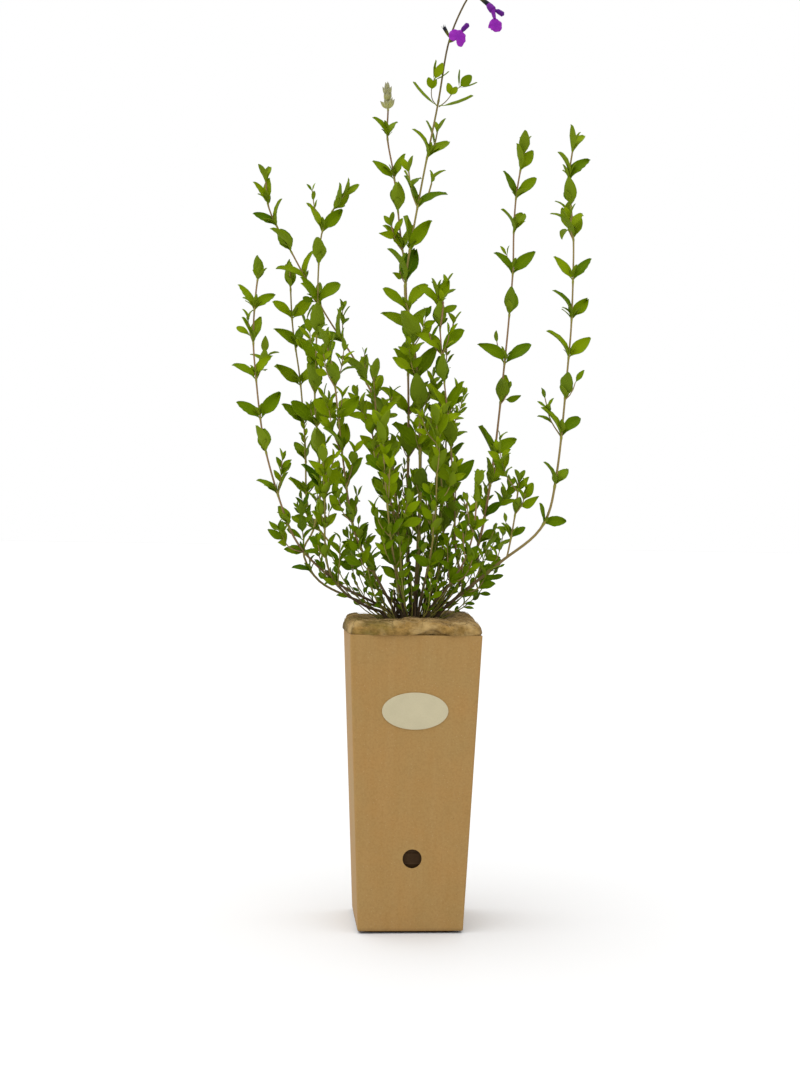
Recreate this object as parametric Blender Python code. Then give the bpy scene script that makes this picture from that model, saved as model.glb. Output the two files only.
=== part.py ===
"""A potted salvia in a square card sleeve, modelled in metres with +Z up.

The pot stands on z = 0 with its front towards -Y. Leafy stems rise from one crown in the
middle of the pot. Every stem is one solid: its tube, its side shoots and its leaves are
joined by one Boolean union. Leaves are turned, raised or shortened until they clear the
leaves and stems of every other solid. The stems are four-sided, as they are in the mint family.
"""

import math
import random

import bpy
from mathutils import Vector
from mathutils.bvhtree import BVHTree

MM = 0.001

# Pot, sleeve and what fills them, in millimetres
SLEEVE_TOP_WIDTH = 100.0
SLEEVE_FOOT_WIDTH = 80.0
SLEEVE_HEIGHT = 224.0
SLEEVE_WALL = 1.0
SLEEVE_CORNER = 1.6
SLEEVE_FOOT_Z = 2.0
GAP = 0.3
POT_HEIGHT = 222.0
POT_WALL = 1.3
POT_FLOOR = 2.5
POT_CORNER = 9.0
POT_RIM_DEPTH = 14.0
POT_RIM_STEP = 1.6
DRAIN_RADIUS = 4.0
DRAIN_PLACES = ((21.0, 21.0), (-21.0, 21.0), (21.0, -21.0), (-21.0, -21.0))
HOLE_RADIUS = 7.2
HOLE_Z = 57.0
LABEL_WIDTH = 50.0
LABEL_HEIGHT = 28.0
LABEL_THICKNESS = 0.6
LABEL_Z = 169.0
SOIL_TOP = 221.5
STEM_SOCKET = 14.0
SOCKET_GAP = 0.6
MAT_BOTTOM = 222.3
MAT_EDGE_Z = 225.8
MAT_HALF = 48.4
MAT_BULGE = 50.1
MAT_SHOULDER = 231.0
MAT_TOP = 236.5
CROWN_HALF_X = 24.0
CROWN_HALF_Y = 15.0

# Leaves, in millimetres and degrees
LEAF_THICKNESS = 0.7
LEAF_CLEARANCE = 0.45
LEAF_ARCH = 0.06
LEAF_CURL = 0.04
LEAF_ROOT = 0.4
TOOTHED = ((0.38, 0.50), (0.62, 0.41), (0.70, 0.43))
PLAIN = ((0.36, 0.50), (0.70, 0.41))
SLIM = ((0.46, 0.46),)
TOOTHED_LENGTH = 24.5
SLIM_LENGTH = 18.5
LEAF_WIDTH_SHARE = 0.53
LEAF_PITCH = (30, 50)
TIP_PITCH_LESS = 12
FACING_PITCH_LESS = 12
# Leaves near the foot are smaller than the rest: their share of the length, and the heights of the change
FOOT_LEAF_SHARE = 0.55
FOOT_LEAF_Z = 255.0
FULL_LEAF_Z = 365.0
LEAF_TWIST = (45, 80)
TIP_TWIST = 28
LEAF_SEED = 11
STEM_SIDES = 4
RING_SPACING = 40.0
FLAT_DEGREES = 2.0
# The two pairs at a tip: how far below it, their length by the upper leaves' length, their pitch and their turn
TIP_PAIRS = ((3.4, 0.86, 28, 60), (1.3, 0.62, 15, -25))
SHOOT_THICK = (1.0, 0.85)
PATH_SLACK = 0.3
PATH_STEP = 3.0

# Every stem: where it passes, how thick it is at its foot and its tip, the heights of its
# leaf pairs, the turn of each pair where the photo shows it (0 is across the picture, 90 is
# front to back), the turn of its topmost pair or tip, and the length of its lower and its
# upper leaves. Routes are chosen by hand.
STEMS = {
    "stem_far_left": {
        "route": ((-14, 2, 228), (-16, 0, 240), (-33, -5, 250), (-52, -9, 259), (-74, -14, 276),
                  (-90, -17, 294), (-101, -18, 318), (-116, -16, 368), (-124, -12, 425), (-126, -8, 457),
                  (-124, -4, 492), (-121, -1, 506)),
        "thick": (1.5, 0.8),
        "pairs": (264, 286, 306, 330, 362, 388, 418, 446, 472, 495),
        "turns": (80, 8, 78, 6, 82, 5, 8, 42, 5, 80),
        "turn": 12,
        "leaves": (21, 17),
    },
    "stem_back_left": {
        "route": ((-6, 4, 228), (-6, 8, 246), (-8, 19, 297), (-20, 32, 385), (-41, 44, 434), (-50, 48, 450),
                  (-70, 54, 481), (-97, 58, 529), (-115, 60, 562), (-119, 60, 588)),
        "thick": (2.0, 0.8),
        "pairs": (300, 330, 358, 390, 422, 456, 485, 506, 529, 550, 567),
        "turns": (6, 84, 4, 80, 44, -44, 42, 6, 82, 4, 40),
        "turn": 10,
        "leaves": (25, 17.5),
        "shoots": ((3, 1, 26, 1),),
    },
    "stem_left_middle": {
        "route": ((-13, 8, 228), (-17, 9, 241), (-47, 18, 251), (-72, 29, 264), (-84, 37, 286), (-76, 38, 304),
                  (-71, 36, 336), (-75, 32, 386), (-77, 30, 413), (-76, 26, 479), (-76, 22, 508),
                  (-74, 20, 537), (-66, 18, 555), (-57, 15, 568)),
        "thick": (1.4, 0.8),
        "pairs": (270, 312, 336, 360, 386, 412, 434, 458, 483, 513, 539, 556),
        "turns": (8, 80, 4, 84, 6, 78, 5, 82, 6, 80, 5, 42),
        "turn": -12,
        "leaves": (24, 18),
    },
    "stem_back_far_left": {
        "route": ((-6, 10, 228), (-9, 15, 244), (-36, 38, 268), (-64, 56, 296), (-80, 63, 322), (-83, 67, 372),
                  (-88, 67, 425), (-95, 66, 470), (-98, 63, 514)),
        "thick": (1.5, 0.8),
        "pairs": (276, 303, 332, 360, 390, 422, 452, 476, 500),
        "turns": (6, 80, 5, -42, 8, 4, 44, 6, 80),
        "turn": -25,
        "leaves": (22, 17),
    },
    "stem_front_left": {
        "route": ((-12, -6, 228), (-14, -9, 242), (-32, -20, 274), (-47, -27, 304), (-57, -32, 360),
                  (-64, -33, 416), (-70, -31, 444)),
        "thick": (1.6, 0.8),
        "pairs": (272, 290, 309, 337, 362, 386, 412, 430),
        "turns": (80, 6, 82, 5, 44, 6, 80, 8),
        "turn": 0,
        "leaves": (24, 18),
        "shoots": ((2, 1, 26, 1),),
    },
    "stem_bud_spike": {
        "route": ((2, 8, 228), (1, 12, 245), (-2, 22, 300), (-2, 24, 340), (-3, 20, 408), (-7, 15, 499),
                  (-12, 11, 535), (-18, 8, 580), (-24, 7, 611), (-24, 6, 634)),
        "thick": (2.2, 0.8),
        "bare_tip": True,
        "pairs": (290, 326, 362, 396, 428, 462, 499, 525, 554, 580, 612),
        "turns": (80, 6, 82, 8, 84, 5, 78, 4, 85, 6, 35),
        "turn": 15,
        "leaves": (24, 17),
        "shoots": ((7, -1, 20, 1),),
    },
    "stem_flowering": {
        "route": ((3, 1, 228), (3, 0, 245), (5, -6, 328), (2, -8, 417), (-6, -7, 470), (-9, -5, 499),
                  (2, -4, 571), (14, -3, 636), (22, -2, 686), (35, -1, 719), (41, 0, 725), (47, 1, 726),
                  (52, 1, 723)),
        "thick": (2.4, 0.85),
        "bare_tip": True,
        "pairs": (300, 332, 366, 396, 421, 447, 474, 496, 522, 556, 595, 639),
        "turns": (6, 84, 5, 80, 8, 82, 6, 44, -44, 4, 42, 5),
        "turn": 5,
        "leaves": (26, 20),
        "shoots": ((9, 1, 22, 1), (9, -1, 26, 1), (10, 1, 24, 1), (11, 1, 22, 1), (11, -1, 20, 1)),
    },
    "stem_right": {
        "route": ((18, 3, 228), (21, 4, 241), (41, 4, 268), (54, 4, 300), (64, 5, 363), (71, 4, 437),
                  (74, 3, 475), (76, 1, 510), (76, 0, 540), (77, -2, 566), (80, -3, 588), (82, -4, 602)),
        "thick": (1.9, 0.8),
        "pairs": (276, 295, 316, 341, 363, 405, 437, 475, 507, 539, 566, 587),
        "turns": (80, 6, -45, 42, 5, 85, 6, 70, 4, 50, 8, 40),
        "turn": 10,
        "leaves": (22, 18.5),
        "branch": {
            "route": ((40, 4, 267), (34, -3, 290), (31, -11, 329), (26, -17, 381), (20, -19, 428), (15, -17, 486)),
            "thick": (1.3, 0.8),
            "pairs": (312, 340, 368, 394, 418, 440, 460, 477),
            "turn": -6,
            "leaves": (24, 17),
            "shoots": ((5, 1, 24, 1), (6, -1, 20, 1), (7, 1, 18, 1)),
        },
    },
    "stem_far_right": {
        "route": ((18, -5, 228), (21, -7, 240), (37, -16, 256), (65, -29, 281), (95, -41, 309), (105, -46, 351),
                  (112, -48, 437), (114, -47, 466), (115, -45, 500), (115, -44, 527), (113, -43, 552),
                  (111, -42, 573), (114, -41, 597)),
        "thick": (2.0, 0.8),
        "pairs": (256, 274, 311, 340, 377, 405, 437, 466, 496, 527, 552, 572),
        "turns": (6, 80, 5, 45, 8, 75, 10, 30, 5, 40, 70, 6),
        "turn": -8,
        "leaves": (21, 19),
        "shoots": ((9, -1, 16, 1),),
        "branch": {
            "route": ((70, -31, 285), (72, -35, 298), (75, -38, 320), (77, -40, 344)),
            "thick": (1.0, 0.85),
            "pairs": (300, 318, 335),
            "turn": 0,
            "leaves": (17, 13),
        },
    },
    "stem_low_left": {
        "route": ((-19, -4, 228), (-22, -5, 240), (-35, -11, 245), (-53, -18, 256), (-65, -25, 272),
                  (-69, -31, 292), (-70, -38, 326), (-72, -43, 356)),
        "thick": (2.1, 0.8),
        "pairs": (262, 282, 304, 325, 344),
        "turn": 20,
        "leaves": (22, 16),
    },
    "stem_woody_middle": {
        "route": ((-4, -3, 228), (-6, -4, 248), (-9, -5, 272), (-12, -6, 307), (-19, -9, 328), (-25, -12, 352),
                  (-31, -15, 395), (-33, -16, 420)),
        "thick": (2.5, 0.8),
        "pairs": (276, 302, 328, 354, 380, 404),
        "turn": 40,
        "leaves": (25, 19),
        "shoots": ((3, -1, 26, 1),),
    },
    "stem_back_right": {
        "route": ((10, 6, 228), (12, 10, 250), (16, 18, 275), (22, 27, 300), (26, 33, 330), (29, 37, 360),
                  (30, 39, 400)),
        "thick": (1.8, 0.8),
        "pairs": (272, 300, 328, 356, 384),
        "turn": 70,
        "leaves": (25, 19),
        "shoots": ((2, 1, 26, 1),),
    },
    "stem_front_middle": {
        "route": ((-5, -10, 228), (-7, -14, 248), (-14, -26, 270), (-19, -36, 295), (-23, -42, 322),
                  (-26, -46, 350), (-28, -47, 380)),
        "thick": (1.7, 0.8),
        "pairs": (276, 299, 322, 345, 366),
        "turn": 60,
        "leaves": (25, 19),
        "shoots": ((2, 1, 24, 1),),
    },
    "stem_front_right": {
        "route": ((4, -7, 228), (6, -12, 250), (10, -24, 275), (13, -33, 300), (14, -39, 330), (14, -42, 360),
                  (13, -43, 386)),
        "thick": (1.8, 0.8),
        "pairs": (276, 300, 322, 346, 370),
        "turn": 20,
        "leaves": (25, 19),
        "shoots": ((1, 1, 26, 1),),
    },
    "stem_woody_right": {
        "route": ((11, -1, 228), (14, -1, 250), (21, 2, 274), (25, 8, 296), (25, 12, 322), (23, 14, 350),
                  (19, 17, 392)),
        "thick": (2.3, 0.8),
        "pairs": (276, 302, 328, 354, 380),
        "turn": -10,
        "leaves": (25, 19),
    },
    "stem_low_right": {
        "route": ((11, -8, 228), (14, -12, 245), (26, -24, 262), (37, -34, 282), (43, -40, 306), (45, -43, 340)),
        "thick": (1.5, 0.8),
        "pairs": (264, 284, 304, 324),
        "turn": 35,
        "leaves": (23, 18),
    },
}

# The two open flowers: where each leaves the flower stem, and the way its tube, its hood
# and its lip point. Places are in millimetres.
FLOWERS = {
    "bloom_front": {
        "calyx": ((22, -2, 686), (26, -6, 688)),
        "tube": (29.5, -9.5, 690),
        "hood": ((33, -12, 695), (37, -13, 699)),
        "lip_centre": (28, -14, 688),
        "lip_right": (0.96, 0.22, -0.10),
        "lip_down": (0.12, -0.30, -0.95),
        "lip_size": 1.0,
    },
    "bloom_hanging": {
        "calyx": ((43, 0, 725), (52, -3, 717)),
        "tube": (57, -5, 711.5),
        "hood": ((62, -5, 710), (66, -5, 706.5)),
        "lip_centre": (58.5, -8, 702),
        "lip_right": (0.93, 0.30, 0.10),
        "lip_down": (0.05, -0.28, -0.96),
        "lip_size": 0.92,
    },
}
SPENT_CALYX = ((22, -2, 687), (17.5, -2, 693.5))
LIP_OUTLINE = ((-1.6, -3.6), (-4.4, -2.6), (-6.6, 0.4), (-6.8, 3.6), (-4.6, 6.0), (-2.0, 5.4), (-0.4, 3.6),
               (0.4, 6.6), (2.2, 9.4), (4.6, 9.2), (6.4, 5.8), (6.6, 1.2), (4.6, -2.4), (1.6, -3.6))
LIP_THICKNESS = 0.8
BUD_PLACES = ((-24.1, 6, 634.4), (-25.4, 5.5, 655))


def clear_scene():
    """Removes every object of the startup scene."""
    for old in list(bpy.data.objects):
        bpy.data.objects.remove(old, do_unlink=True)


def material(name, colour, roughness):
    """A plain material for a solid."""
    made = bpy.data.materials.new(name)
    made.use_nodes = True
    shader = made.node_tree.nodes["Principled BSDF"]
    shader.inputs["Base Color"].default_value = (*colour, 1.0)
    shader.inputs["Roughness"].default_value = roughness
    shader.inputs["Metallic"].default_value = 0.0
    return made


def mesh_object(name, points, faces, surface=None):
    """A mesh object from points in millimetres."""
    mesh = bpy.data.meshes.new(name)
    mesh.from_pydata([Vector(point) * MM for point in points], [], faces)
    mesh.update()
    made = bpy.data.objects.new(name, mesh)
    bpy.context.scene.collection.objects.link(made)
    if surface:
        mesh.materials.append(surface)
    return made


def rounded_square(half, corner, z, steps):
    """One ring of points round a square with rounded corners, anticlockwise."""
    ring = []
    for quarter in range(4):
        middle = math.radians(45 + 90 * quarter)
        centre_x = (half - corner) * math.copysign(1, math.cos(middle))
        centre_y = (half - corner) * math.copysign(1, math.sin(middle))
        for step in range(steps + 1):
            angle = math.radians(90 * quarter + 90 * step / steps)
            ring.append((centre_x + corner * math.cos(angle), centre_y + corner * math.sin(angle), z))
    return ring


def joined_rings(rings, closed_loop):
    """Faces that join each ring of points to the next, and either the last ring to the first or two end caps."""
    count = len(rings[0])
    faces = []
    last = len(rings) if closed_loop else len(rings) - 1
    for row in range(last):
        below = row * count
        above = ((row + 1) % len(rings)) * count
        for i in range(count):
            j = (i + 1) % count
            faces.append((below + i, below + j, above + j, above + i))
    if not closed_loop:
        faces.append(tuple(reversed(range(count))))
        faces.append(tuple(range((len(rings) - 1) * count, len(rings) * count)))
    return faces


def lofted(name, rings, surface, closed_loop=False):
    """A solid through rings of points."""
    points = [point for ring in rings for point in ring]
    return mesh_object(name, points, joined_rings(rings, closed_loop), surface)


def cylinder(name, start, end, radius, sides):
    """A plain cylinder between two places."""
    rings = [ring_round(Vector(place), Vector(end) - Vector(start), radius, sides) for place in (start, end)]
    return lofted(name, rings, None)


def ring_round(centre, direction, radius, sides, side_way=None):
    """A ring of points round a direction."""
    direction = direction.normalized()
    reference = side_way or Vector((0.0, 1.0, 0.0) if abs(direction.y) < 0.9 else (1.0, 0.0, 0.0))
    first = (reference - direction * reference.dot(direction)).normalized()
    second = direction.cross(first)
    ring = []
    for i in range(sides):
        angle = math.tau * i / sides
        ring.append(tuple(centre + (first * math.cos(angle) + second * math.sin(angle)) * radius))
    return ring


def boolean(target, other, operation, solver="EXACT"):
    """Applies one Boolean to the target, then removes what it used."""
    modifier = target.modifiers.new(operation.title(), "BOOLEAN")
    modifier.operation = operation
    modifier.solver = solver
    used = [other]
    if isinstance(other, bpy.types.Collection):
        used = list(other.objects)
        modifier.operand_type = "COLLECTION"
        modifier.collection = other
    else:
        modifier.object = other
    bpy.context.view_layer.objects.active = target
    bpy.ops.object.modifier_apply(modifier=modifier.name)
    for each in used:
        bpy.data.objects.remove(each, do_unlink=True)
    if isinstance(other, bpy.types.Collection):
        bpy.data.collections.remove(other)


def collected(name, objects):
    """Moves objects to a collection of their own."""
    group = bpy.data.collections.new(name)
    bpy.context.scene.collection.children.link(group)
    for each in objects:
        bpy.context.scene.collection.objects.unlink(each)
        group.objects.link(each)
    return group


def sleeve_half(z):
    """Half the sleeve's outer width at a height."""
    share = (z - SLEEVE_FOOT_Z) / SLEEVE_HEIGHT
    return (SLEEVE_FOOT_WIDTH + (SLEEVE_TOP_WIDTH - SLEEVE_FOOT_WIDTH) * share) / 2


def pot_half(z):
    """Half the pot's outer width at a height: its rim fits the sleeve, and its body is a step narrower."""
    step = 0.0 if z > POT_HEIGHT - POT_RIM_DEPTH else POT_RIM_STEP
    return sleeve_half(max(z, SLEEVE_FOOT_Z)) - SLEEVE_WALL - GAP - step


def make_sleeve():
    """The card sleeve: a tapered square tube with a round finger hole in its front."""
    top = SLEEVE_FOOT_Z + SLEEVE_HEIGHT
    rings = [
        rounded_square(sleeve_half(SLEEVE_FOOT_Z), SLEEVE_CORNER, SLEEVE_FOOT_Z, 2),
        rounded_square(sleeve_half(top), SLEEVE_CORNER, top, 2),
        rounded_square(sleeve_half(top) - SLEEVE_WALL, SLEEVE_CORNER - SLEEVE_WALL, top, 2),
        rounded_square(sleeve_half(SLEEVE_FOOT_Z) - SLEEVE_WALL, SLEEVE_CORNER - SLEEVE_WALL, SLEEVE_FOOT_Z, 2),
    ]
    sleeve = lofted("sleeve", rings, material("card", (0.38, 0.23, 0.085), 0.85), closed_loop=True)
    cutter = cylinder("finger_hole", (0, -SLEEVE_TOP_WIDTH, HOLE_Z), (0, -20, HOLE_Z), HOLE_RADIUS, 24)
    boolean(sleeve, cutter, "DIFFERENCE")


def make_label():
    """The oval label on the sleeve's leaning front."""
    lean = math.atan2(SLEEVE_TOP_WIDTH - SLEEVE_FOOT_WIDTH, 2 * SLEEVE_HEIGHT)
    up = Vector((0, -math.sin(lean), math.cos(lean)))
    out = Vector((0, -math.cos(lean), -math.sin(lean)))
    middle = Vector((0, -sleeve_half(LABEL_Z), LABEL_Z))
    rings = []
    for lift in (GAP, GAP + LABEL_THICKNESS):
        ring = []
        for i in range(26):
            angle = math.tau * i / 26
            across = Vector((math.cos(angle) * LABEL_WIDTH / 2, 0, 0))
            ring.append(tuple(middle + across + up * (math.sin(angle) * LABEL_HEIGHT / 2) + out * lift))
        rings.append(ring)
    lofted("label", rings, material("label_paper", (0.66, 0.58, 0.36), 0.7))


def make_pot():
    """The dark pot: an open tapered box with a wider rim and drainage holes in its floor."""
    rim_foot = POT_HEIGHT - POT_RIM_DEPTH
    outside = [
        rounded_square(pot_half(0) - 1.2, POT_CORNER, 0.0, 3),
        rounded_square(pot_half(1.2), POT_CORNER, 1.2, 3),
        rounded_square(pot_half(rim_foot), POT_CORNER, rim_foot, 3),
        rounded_square(pot_half(rim_foot + 0.01), POT_CORNER, rim_foot + 0.6, 3),
        rounded_square(pot_half(POT_HEIGHT), POT_CORNER, POT_HEIGHT, 3),
    ]
    inner_corner = POT_CORNER - POT_WALL
    inside = [
        rounded_square(pot_half(POT_HEIGHT) - POT_WALL, inner_corner, POT_HEIGHT, 3),
        rounded_square(pot_half(rim_foot + 0.01) - POT_WALL, inner_corner, rim_foot + 2.2, 3),
        rounded_square(pot_half(rim_foot) - POT_WALL, inner_corner, rim_foot + 1.6, 3),
        rounded_square(pot_half(POT_FLOOR) - POT_WALL, inner_corner, POT_FLOOR, 3),
    ]
    pot = lofted("pot", outside + inside, material("pot_plastic", (0.022, 0.018, 0.016), 0.45))
    drains = []
    for x, y in DRAIN_PLACES:
        drains.append(cylinder("drain", (x, y, -2), (x, y, POT_FLOOR + 2), DRAIN_RADIUS, 12))
    boolean(pot, collected("drains", drains), "DIFFERENCE")


def make_soil(feet):
    """The root ball, with a plain hole for every stem's foot."""
    gap = POT_WALL + GAP
    corner = POT_CORNER - gap
    bottom = POT_FLOOR + GAP
    rim_foot = POT_HEIGHT - POT_RIM_DEPTH
    rings = [
        rounded_square(pot_half(bottom) - gap, corner, bottom, 3),
        rounded_square(pot_half(rim_foot) - gap, corner, rim_foot, 3),
        rounded_square(pot_half(rim_foot) - gap, corner, SOIL_TOP, 3),
    ]
    soil = lofted("soil", rings, material("compost", (0.055, 0.035, 0.022), 0.95))
    sockets = []
    for (x, y), radius in feet:
        start = (x, y, SOIL_TOP - STEM_SOCKET)
        sockets.append(cylinder("socket", start, (x, y, SOIL_TOP + 5), radius + SOCKET_GAP, 6))
    boolean(soil, collected("sockets", sockets), "DIFFERENCE")


def make_mat():
    """The fibre pad: a soft square cushion that swells over the sleeve's edge, open in the middle for the crown."""
    count = 24
    levels = (
        (0.0, MAT_BOTTOM, MAT_HALF - 0.7),
        (0.0, MAT_EDGE_Z, MAT_HALF),
        (0.0, MAT_EDGE_Z + 1.4, MAT_BULGE - 0.2),
        (0.0, MAT_SHOULDER, MAT_BULGE),
        (0.06, MAT_SHOULDER + 3.6, MAT_BULGE - 0.4),
        (0.2, MAT_TOP, MAT_BULGE - 1.0),
        (0.6, MAT_TOP + 0.6, MAT_BULGE),
        (1.0, MAT_TOP - 1.2, MAT_BULGE),
        (1.0, MAT_BOTTOM, MAT_BULGE),
    )
    rings = []
    for inward, height, half in levels:
        ring = []
        for i in range(count):
            angle = math.tau * i / count
            outer = mat_edge(angle) * half
            inner = Vector((math.cos(angle) * CROWN_HALF_X, math.sin(angle) * CROWN_HALF_Y))
            place = outer.lerp(inner, inward)
            lump = 0.0
            if height > MAT_SHOULDER:
                lump = 0.9 * math.sin(3 * angle + 0.7) + 0.6 * math.sin(5 * angle + 2.1) * (1 - inward)
            ring.append((place.x, place.y, height + lump))
        rings.append(ring)
    return lofted("mat", rings, material("fibre", (0.30, 0.20, 0.075), 0.95), closed_loop=True)


def mat_edge(angle):
    """The pad's outer edge in one direction, by its half width: a square with rounded corners."""
    power = 12.0
    x = math.cos(angle)
    y = math.sin(angle)
    reach = (abs(x) ** power + abs(y) ** power) ** (-1 / power)
    return Vector((x * reach, y * reach))


def smooth_path(places):
    """Even, closely spaced places along a smooth curve through the chosen ones."""
    places = [Vector(place) for place in places]
    padded = [places[0] * 2 - places[1]] + places + [places[-1] * 2 - places[-2]]
    path = []
    for i in range(1, len(padded) - 2):
        before, start, end, after = padded[i - 1:i + 3]
        steps = max(2, math.ceil((end - start).length / PATH_STEP))
        for step in range(steps):
            t = step / steps
            path.append(0.5 * (2 * start + (end - before) * t
                               + (2 * before - 5 * start + 4 * end - after) * t ** 2
                               + (3 * start - before - 3 * end + after) * t ** 3))
    path.append(places[-1])
    return path


def thinned(path):
    """The path with as few places as keep it true: more where it bends, and none far apart."""
    kept = [path[0]]
    start = 0
    for end in range(2, len(path)):
        chord = path[end] - path[start]
        way = chord.normalized()
        off = max((each - path[start] - way * (each - path[start]).dot(way)).length for each in path[start:end])
        if off > PATH_SLACK or chord.length > RING_SPACING:
            start = end - 1
            kept.append(path[start])
    return kept + [path[-1]]


def at_height(path, z):
    """The place and the direction where a path first reaches a height."""
    for start, end in zip(path, path[1:]):
        if start.z <= z <= end.z:
            share = (z - start.z) / max(end.z - start.z, 1e-6)
            return start.lerp(end, share), (end - start).normalized()
    raise ValueError(f"the path doesn't reach {z}")


def tube(name, path, thick, extra=0.0):
    """A tapering four-sided tube along a path."""
    side_way = Vector((0.0, 1.0, 0.0))
    whole = sum((end - start).length for start, end in zip(path, path[1:]))
    travelled = 0.0
    rings = []
    for i, place in enumerate(path):
        if i:
            travelled += (place - path[i - 1]).length
        radius = thick[0] + (thick[1] - thick[0]) * (travelled / whole) ** 0.8 + extra
        direction = (path[min(i + 1, len(path) - 1)] - path[max(i - 1, 0)]).normalized()
        side_way = (side_way - direction * side_way.dot(direction)).normalized()
        rings.append(ring_round(place, direction, radius, STEM_SIDES, side_way))
    return lofted(name, rings, None)


def leaf_points(leaf, extra=0.0):
    """The upper and lower points of a leaf, made larger all round by some extra."""
    outline = leaf["outline"]
    along = leaf["along"]
    up = leaf["up"]
    across = up.cross(along)
    length = leaf["length"] + extra
    width = leaf["length"] * LEAF_WIDTH_SHARE
    half = LEAF_THICKNESS / 2 + extra

    def spot(share, side):
        out = side * width + math.copysign(extra, side) * (side != 0)
        lift = length * (4 * LEAF_ARCH * share * (1 - share) - LEAF_CURL * share ** 2)
        return leaf["root"] + along * (share * length) + across * out + up * lift

    ring = [spot(0.0, 0.0)]
    ring += [spot(share, -side) for share, side in outline]
    ring += [spot(1.0, 0.0)]
    ring += [spot(share, side) for share, side in reversed(outline)]
    upper = [place + up * half for place in ring]
    lower = [place - up * half for place in ring]
    return upper + lower


def leaf_faces(leaf):
    """The faces of a leaf: bands of triangles across it, alike above and below, and the edge between."""
    steps = len(leaf["outline"])
    rim = 2 * steps + 2
    upper = [(0, 1, rim - 1)]
    for i in range(1, steps):
        upper.append((i, i + 1, rim - i))
        upper.append((i + 1, rim - i - 1, rim - i))
    upper.append((steps, steps + 1, steps + 2))
    faces = list(upper)
    faces += [(a + rim, c + rim, b + rim) for a, b, c in upper]
    for i in range(rim):
        j = (i + 1) % rim
        faces.append((i, i + rim, j + rim, j))
    return faces


def way_out(direction, azimuth, pitch):
    """The way that something grows out of a stem, and the way that its upper side faces."""
    reference = Vector((1.0, 0.0, 0.0)) - direction * direction.x
    reference.normalize()
    radial = reference * math.cos(azimuth) + direction.cross(reference) * math.sin(azimuth)
    along = (direction * math.cos(pitch) + radial * math.sin(pitch)).normalized()
    up = (direction * math.sin(pitch) - radial * math.cos(pitch)).normalized()
    return along, up


def leaf_at(place, direction, azimuth, pitch, twist, length, outline, node):
    """One leaf, growing from a place on a stem. A leaf at the side twists its upper face to the front.

    Leaves of one node share a name, and may touch at their roots.
    """
    along, up = way_out(direction, azimuth, pitch)
    across = up.cross(along)
    turn = twist * min(1.0, 1.3 * abs(along.x)) * (1.0 - 1.2 * along.y) * (-1 if across.y > 0 else 1)
    up = (up * math.cos(turn) + across * math.sin(turn)).normalized()
    return {
        "place": place, "direction": direction, "azimuth": azimuth, "pitch": pitch, "twist": twist,
        "length": length, "outline": outline, "node": node, "root": place + along * LEAF_ROOT,
        "along": along, "up": up,
    }


def plan_stem(name, stem, draw, trunks, shoots):
    """The tubes of a stem and its side shoots, and the leaves that they carry."""
    leaves = []
    tubes = []
    others = [tree for other, tree in shoots if other != name]
    for part_name, part in stem_parts(name, stem):
        first = len(leaves)
        tubes.append((trunks[part_name], part["thick"]))
        plan_pairs(part_name, part, draw, trunks[part_name], leaves)
        for number, side, reach, pair_count in part.get("shoots", ()):
            below = leaves[first + 2 * number]
            made = shoot_with_room(below, side, reach, others)
            if made:
                tubes.append((made, SHOOT_THICK))
                shoots.append((name, tube_tree(made, SHOOT_THICK)))
                plan_shoot_leaves(f"{part_name}_shoot_{number}_{side}", made, pair_count, below["length"] * 0.72,
                                  draw, leaves)
    return tubes, leaves


def stem_parts(name, stem):
    """The main stem and, where it forks, its branch."""
    parts = [(name, stem)]
    if "branch" in stem:
        parts.append((name + "_branch", stem["branch"]))
    return parts


def trunk_path(part, is_branch):
    """The line of a stem, with its straight foot in the root ball, or the line of a branch."""
    path = thinned(smooth_path(part["route"]))
    if not is_branch:
        path.insert(0, Vector((path[0].x, path[0].y, SOIL_TOP - STEM_SOCKET + 0.5)))
    return path


def plan_pairs(name, part, draw, path, leaves):
    """Sets the leaf pairs of one stem, turned as the photo shows them or a quarter from the next, and its tip."""
    heights = part["pairs"]
    low, high = part["leaves"]
    for number, z in enumerate(heights):
        place, direction = at_height(path, z)
        from_top = len(heights) - 1 - number
        turn = part["turns"][number] if "turns" in part else part["turn"] + 90 * (from_top % 2)
        turn = math.radians(turn + draw.uniform(-8, 8))
        length = low + (high - low) * (number / max(len(heights) - 1, 1)) ** 1.6
        grown = min(1.0, max(0.0, (z - FOOT_LEAF_Z) / (FULL_LEAF_Z - FOOT_LEAF_Z)))
        length *= FOOT_LEAF_SHARE + (1 - FOOT_LEAF_SHARE) * grown
        outline = TOOTHED if length >= TOOTHED_LENGTH else PLAIN if length >= SLIM_LENGTH else SLIM
        drawn_in = TIP_PITCH_LESS if from_top == 0 and not part.get("bare_tip") else 0
        drawn_in += FACING_PITCH_LESS * abs(math.sin(turn))
        for side in (0, 1):
            pitch = math.radians(draw.uniform(*LEAF_PITCH) - drawn_in)
            twist = math.radians(draw.uniform(*LEAF_TWIST))
            size = length * draw.uniform(0.9, 1.12)
            leaves.append(leaf_at(place, direction, turn + math.pi * side, pitch, twist, size, outline,
                                  (name, number)))
    if not part.get("bare_tip"):
        plan_tip(name, part, draw, path, leaves)


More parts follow.
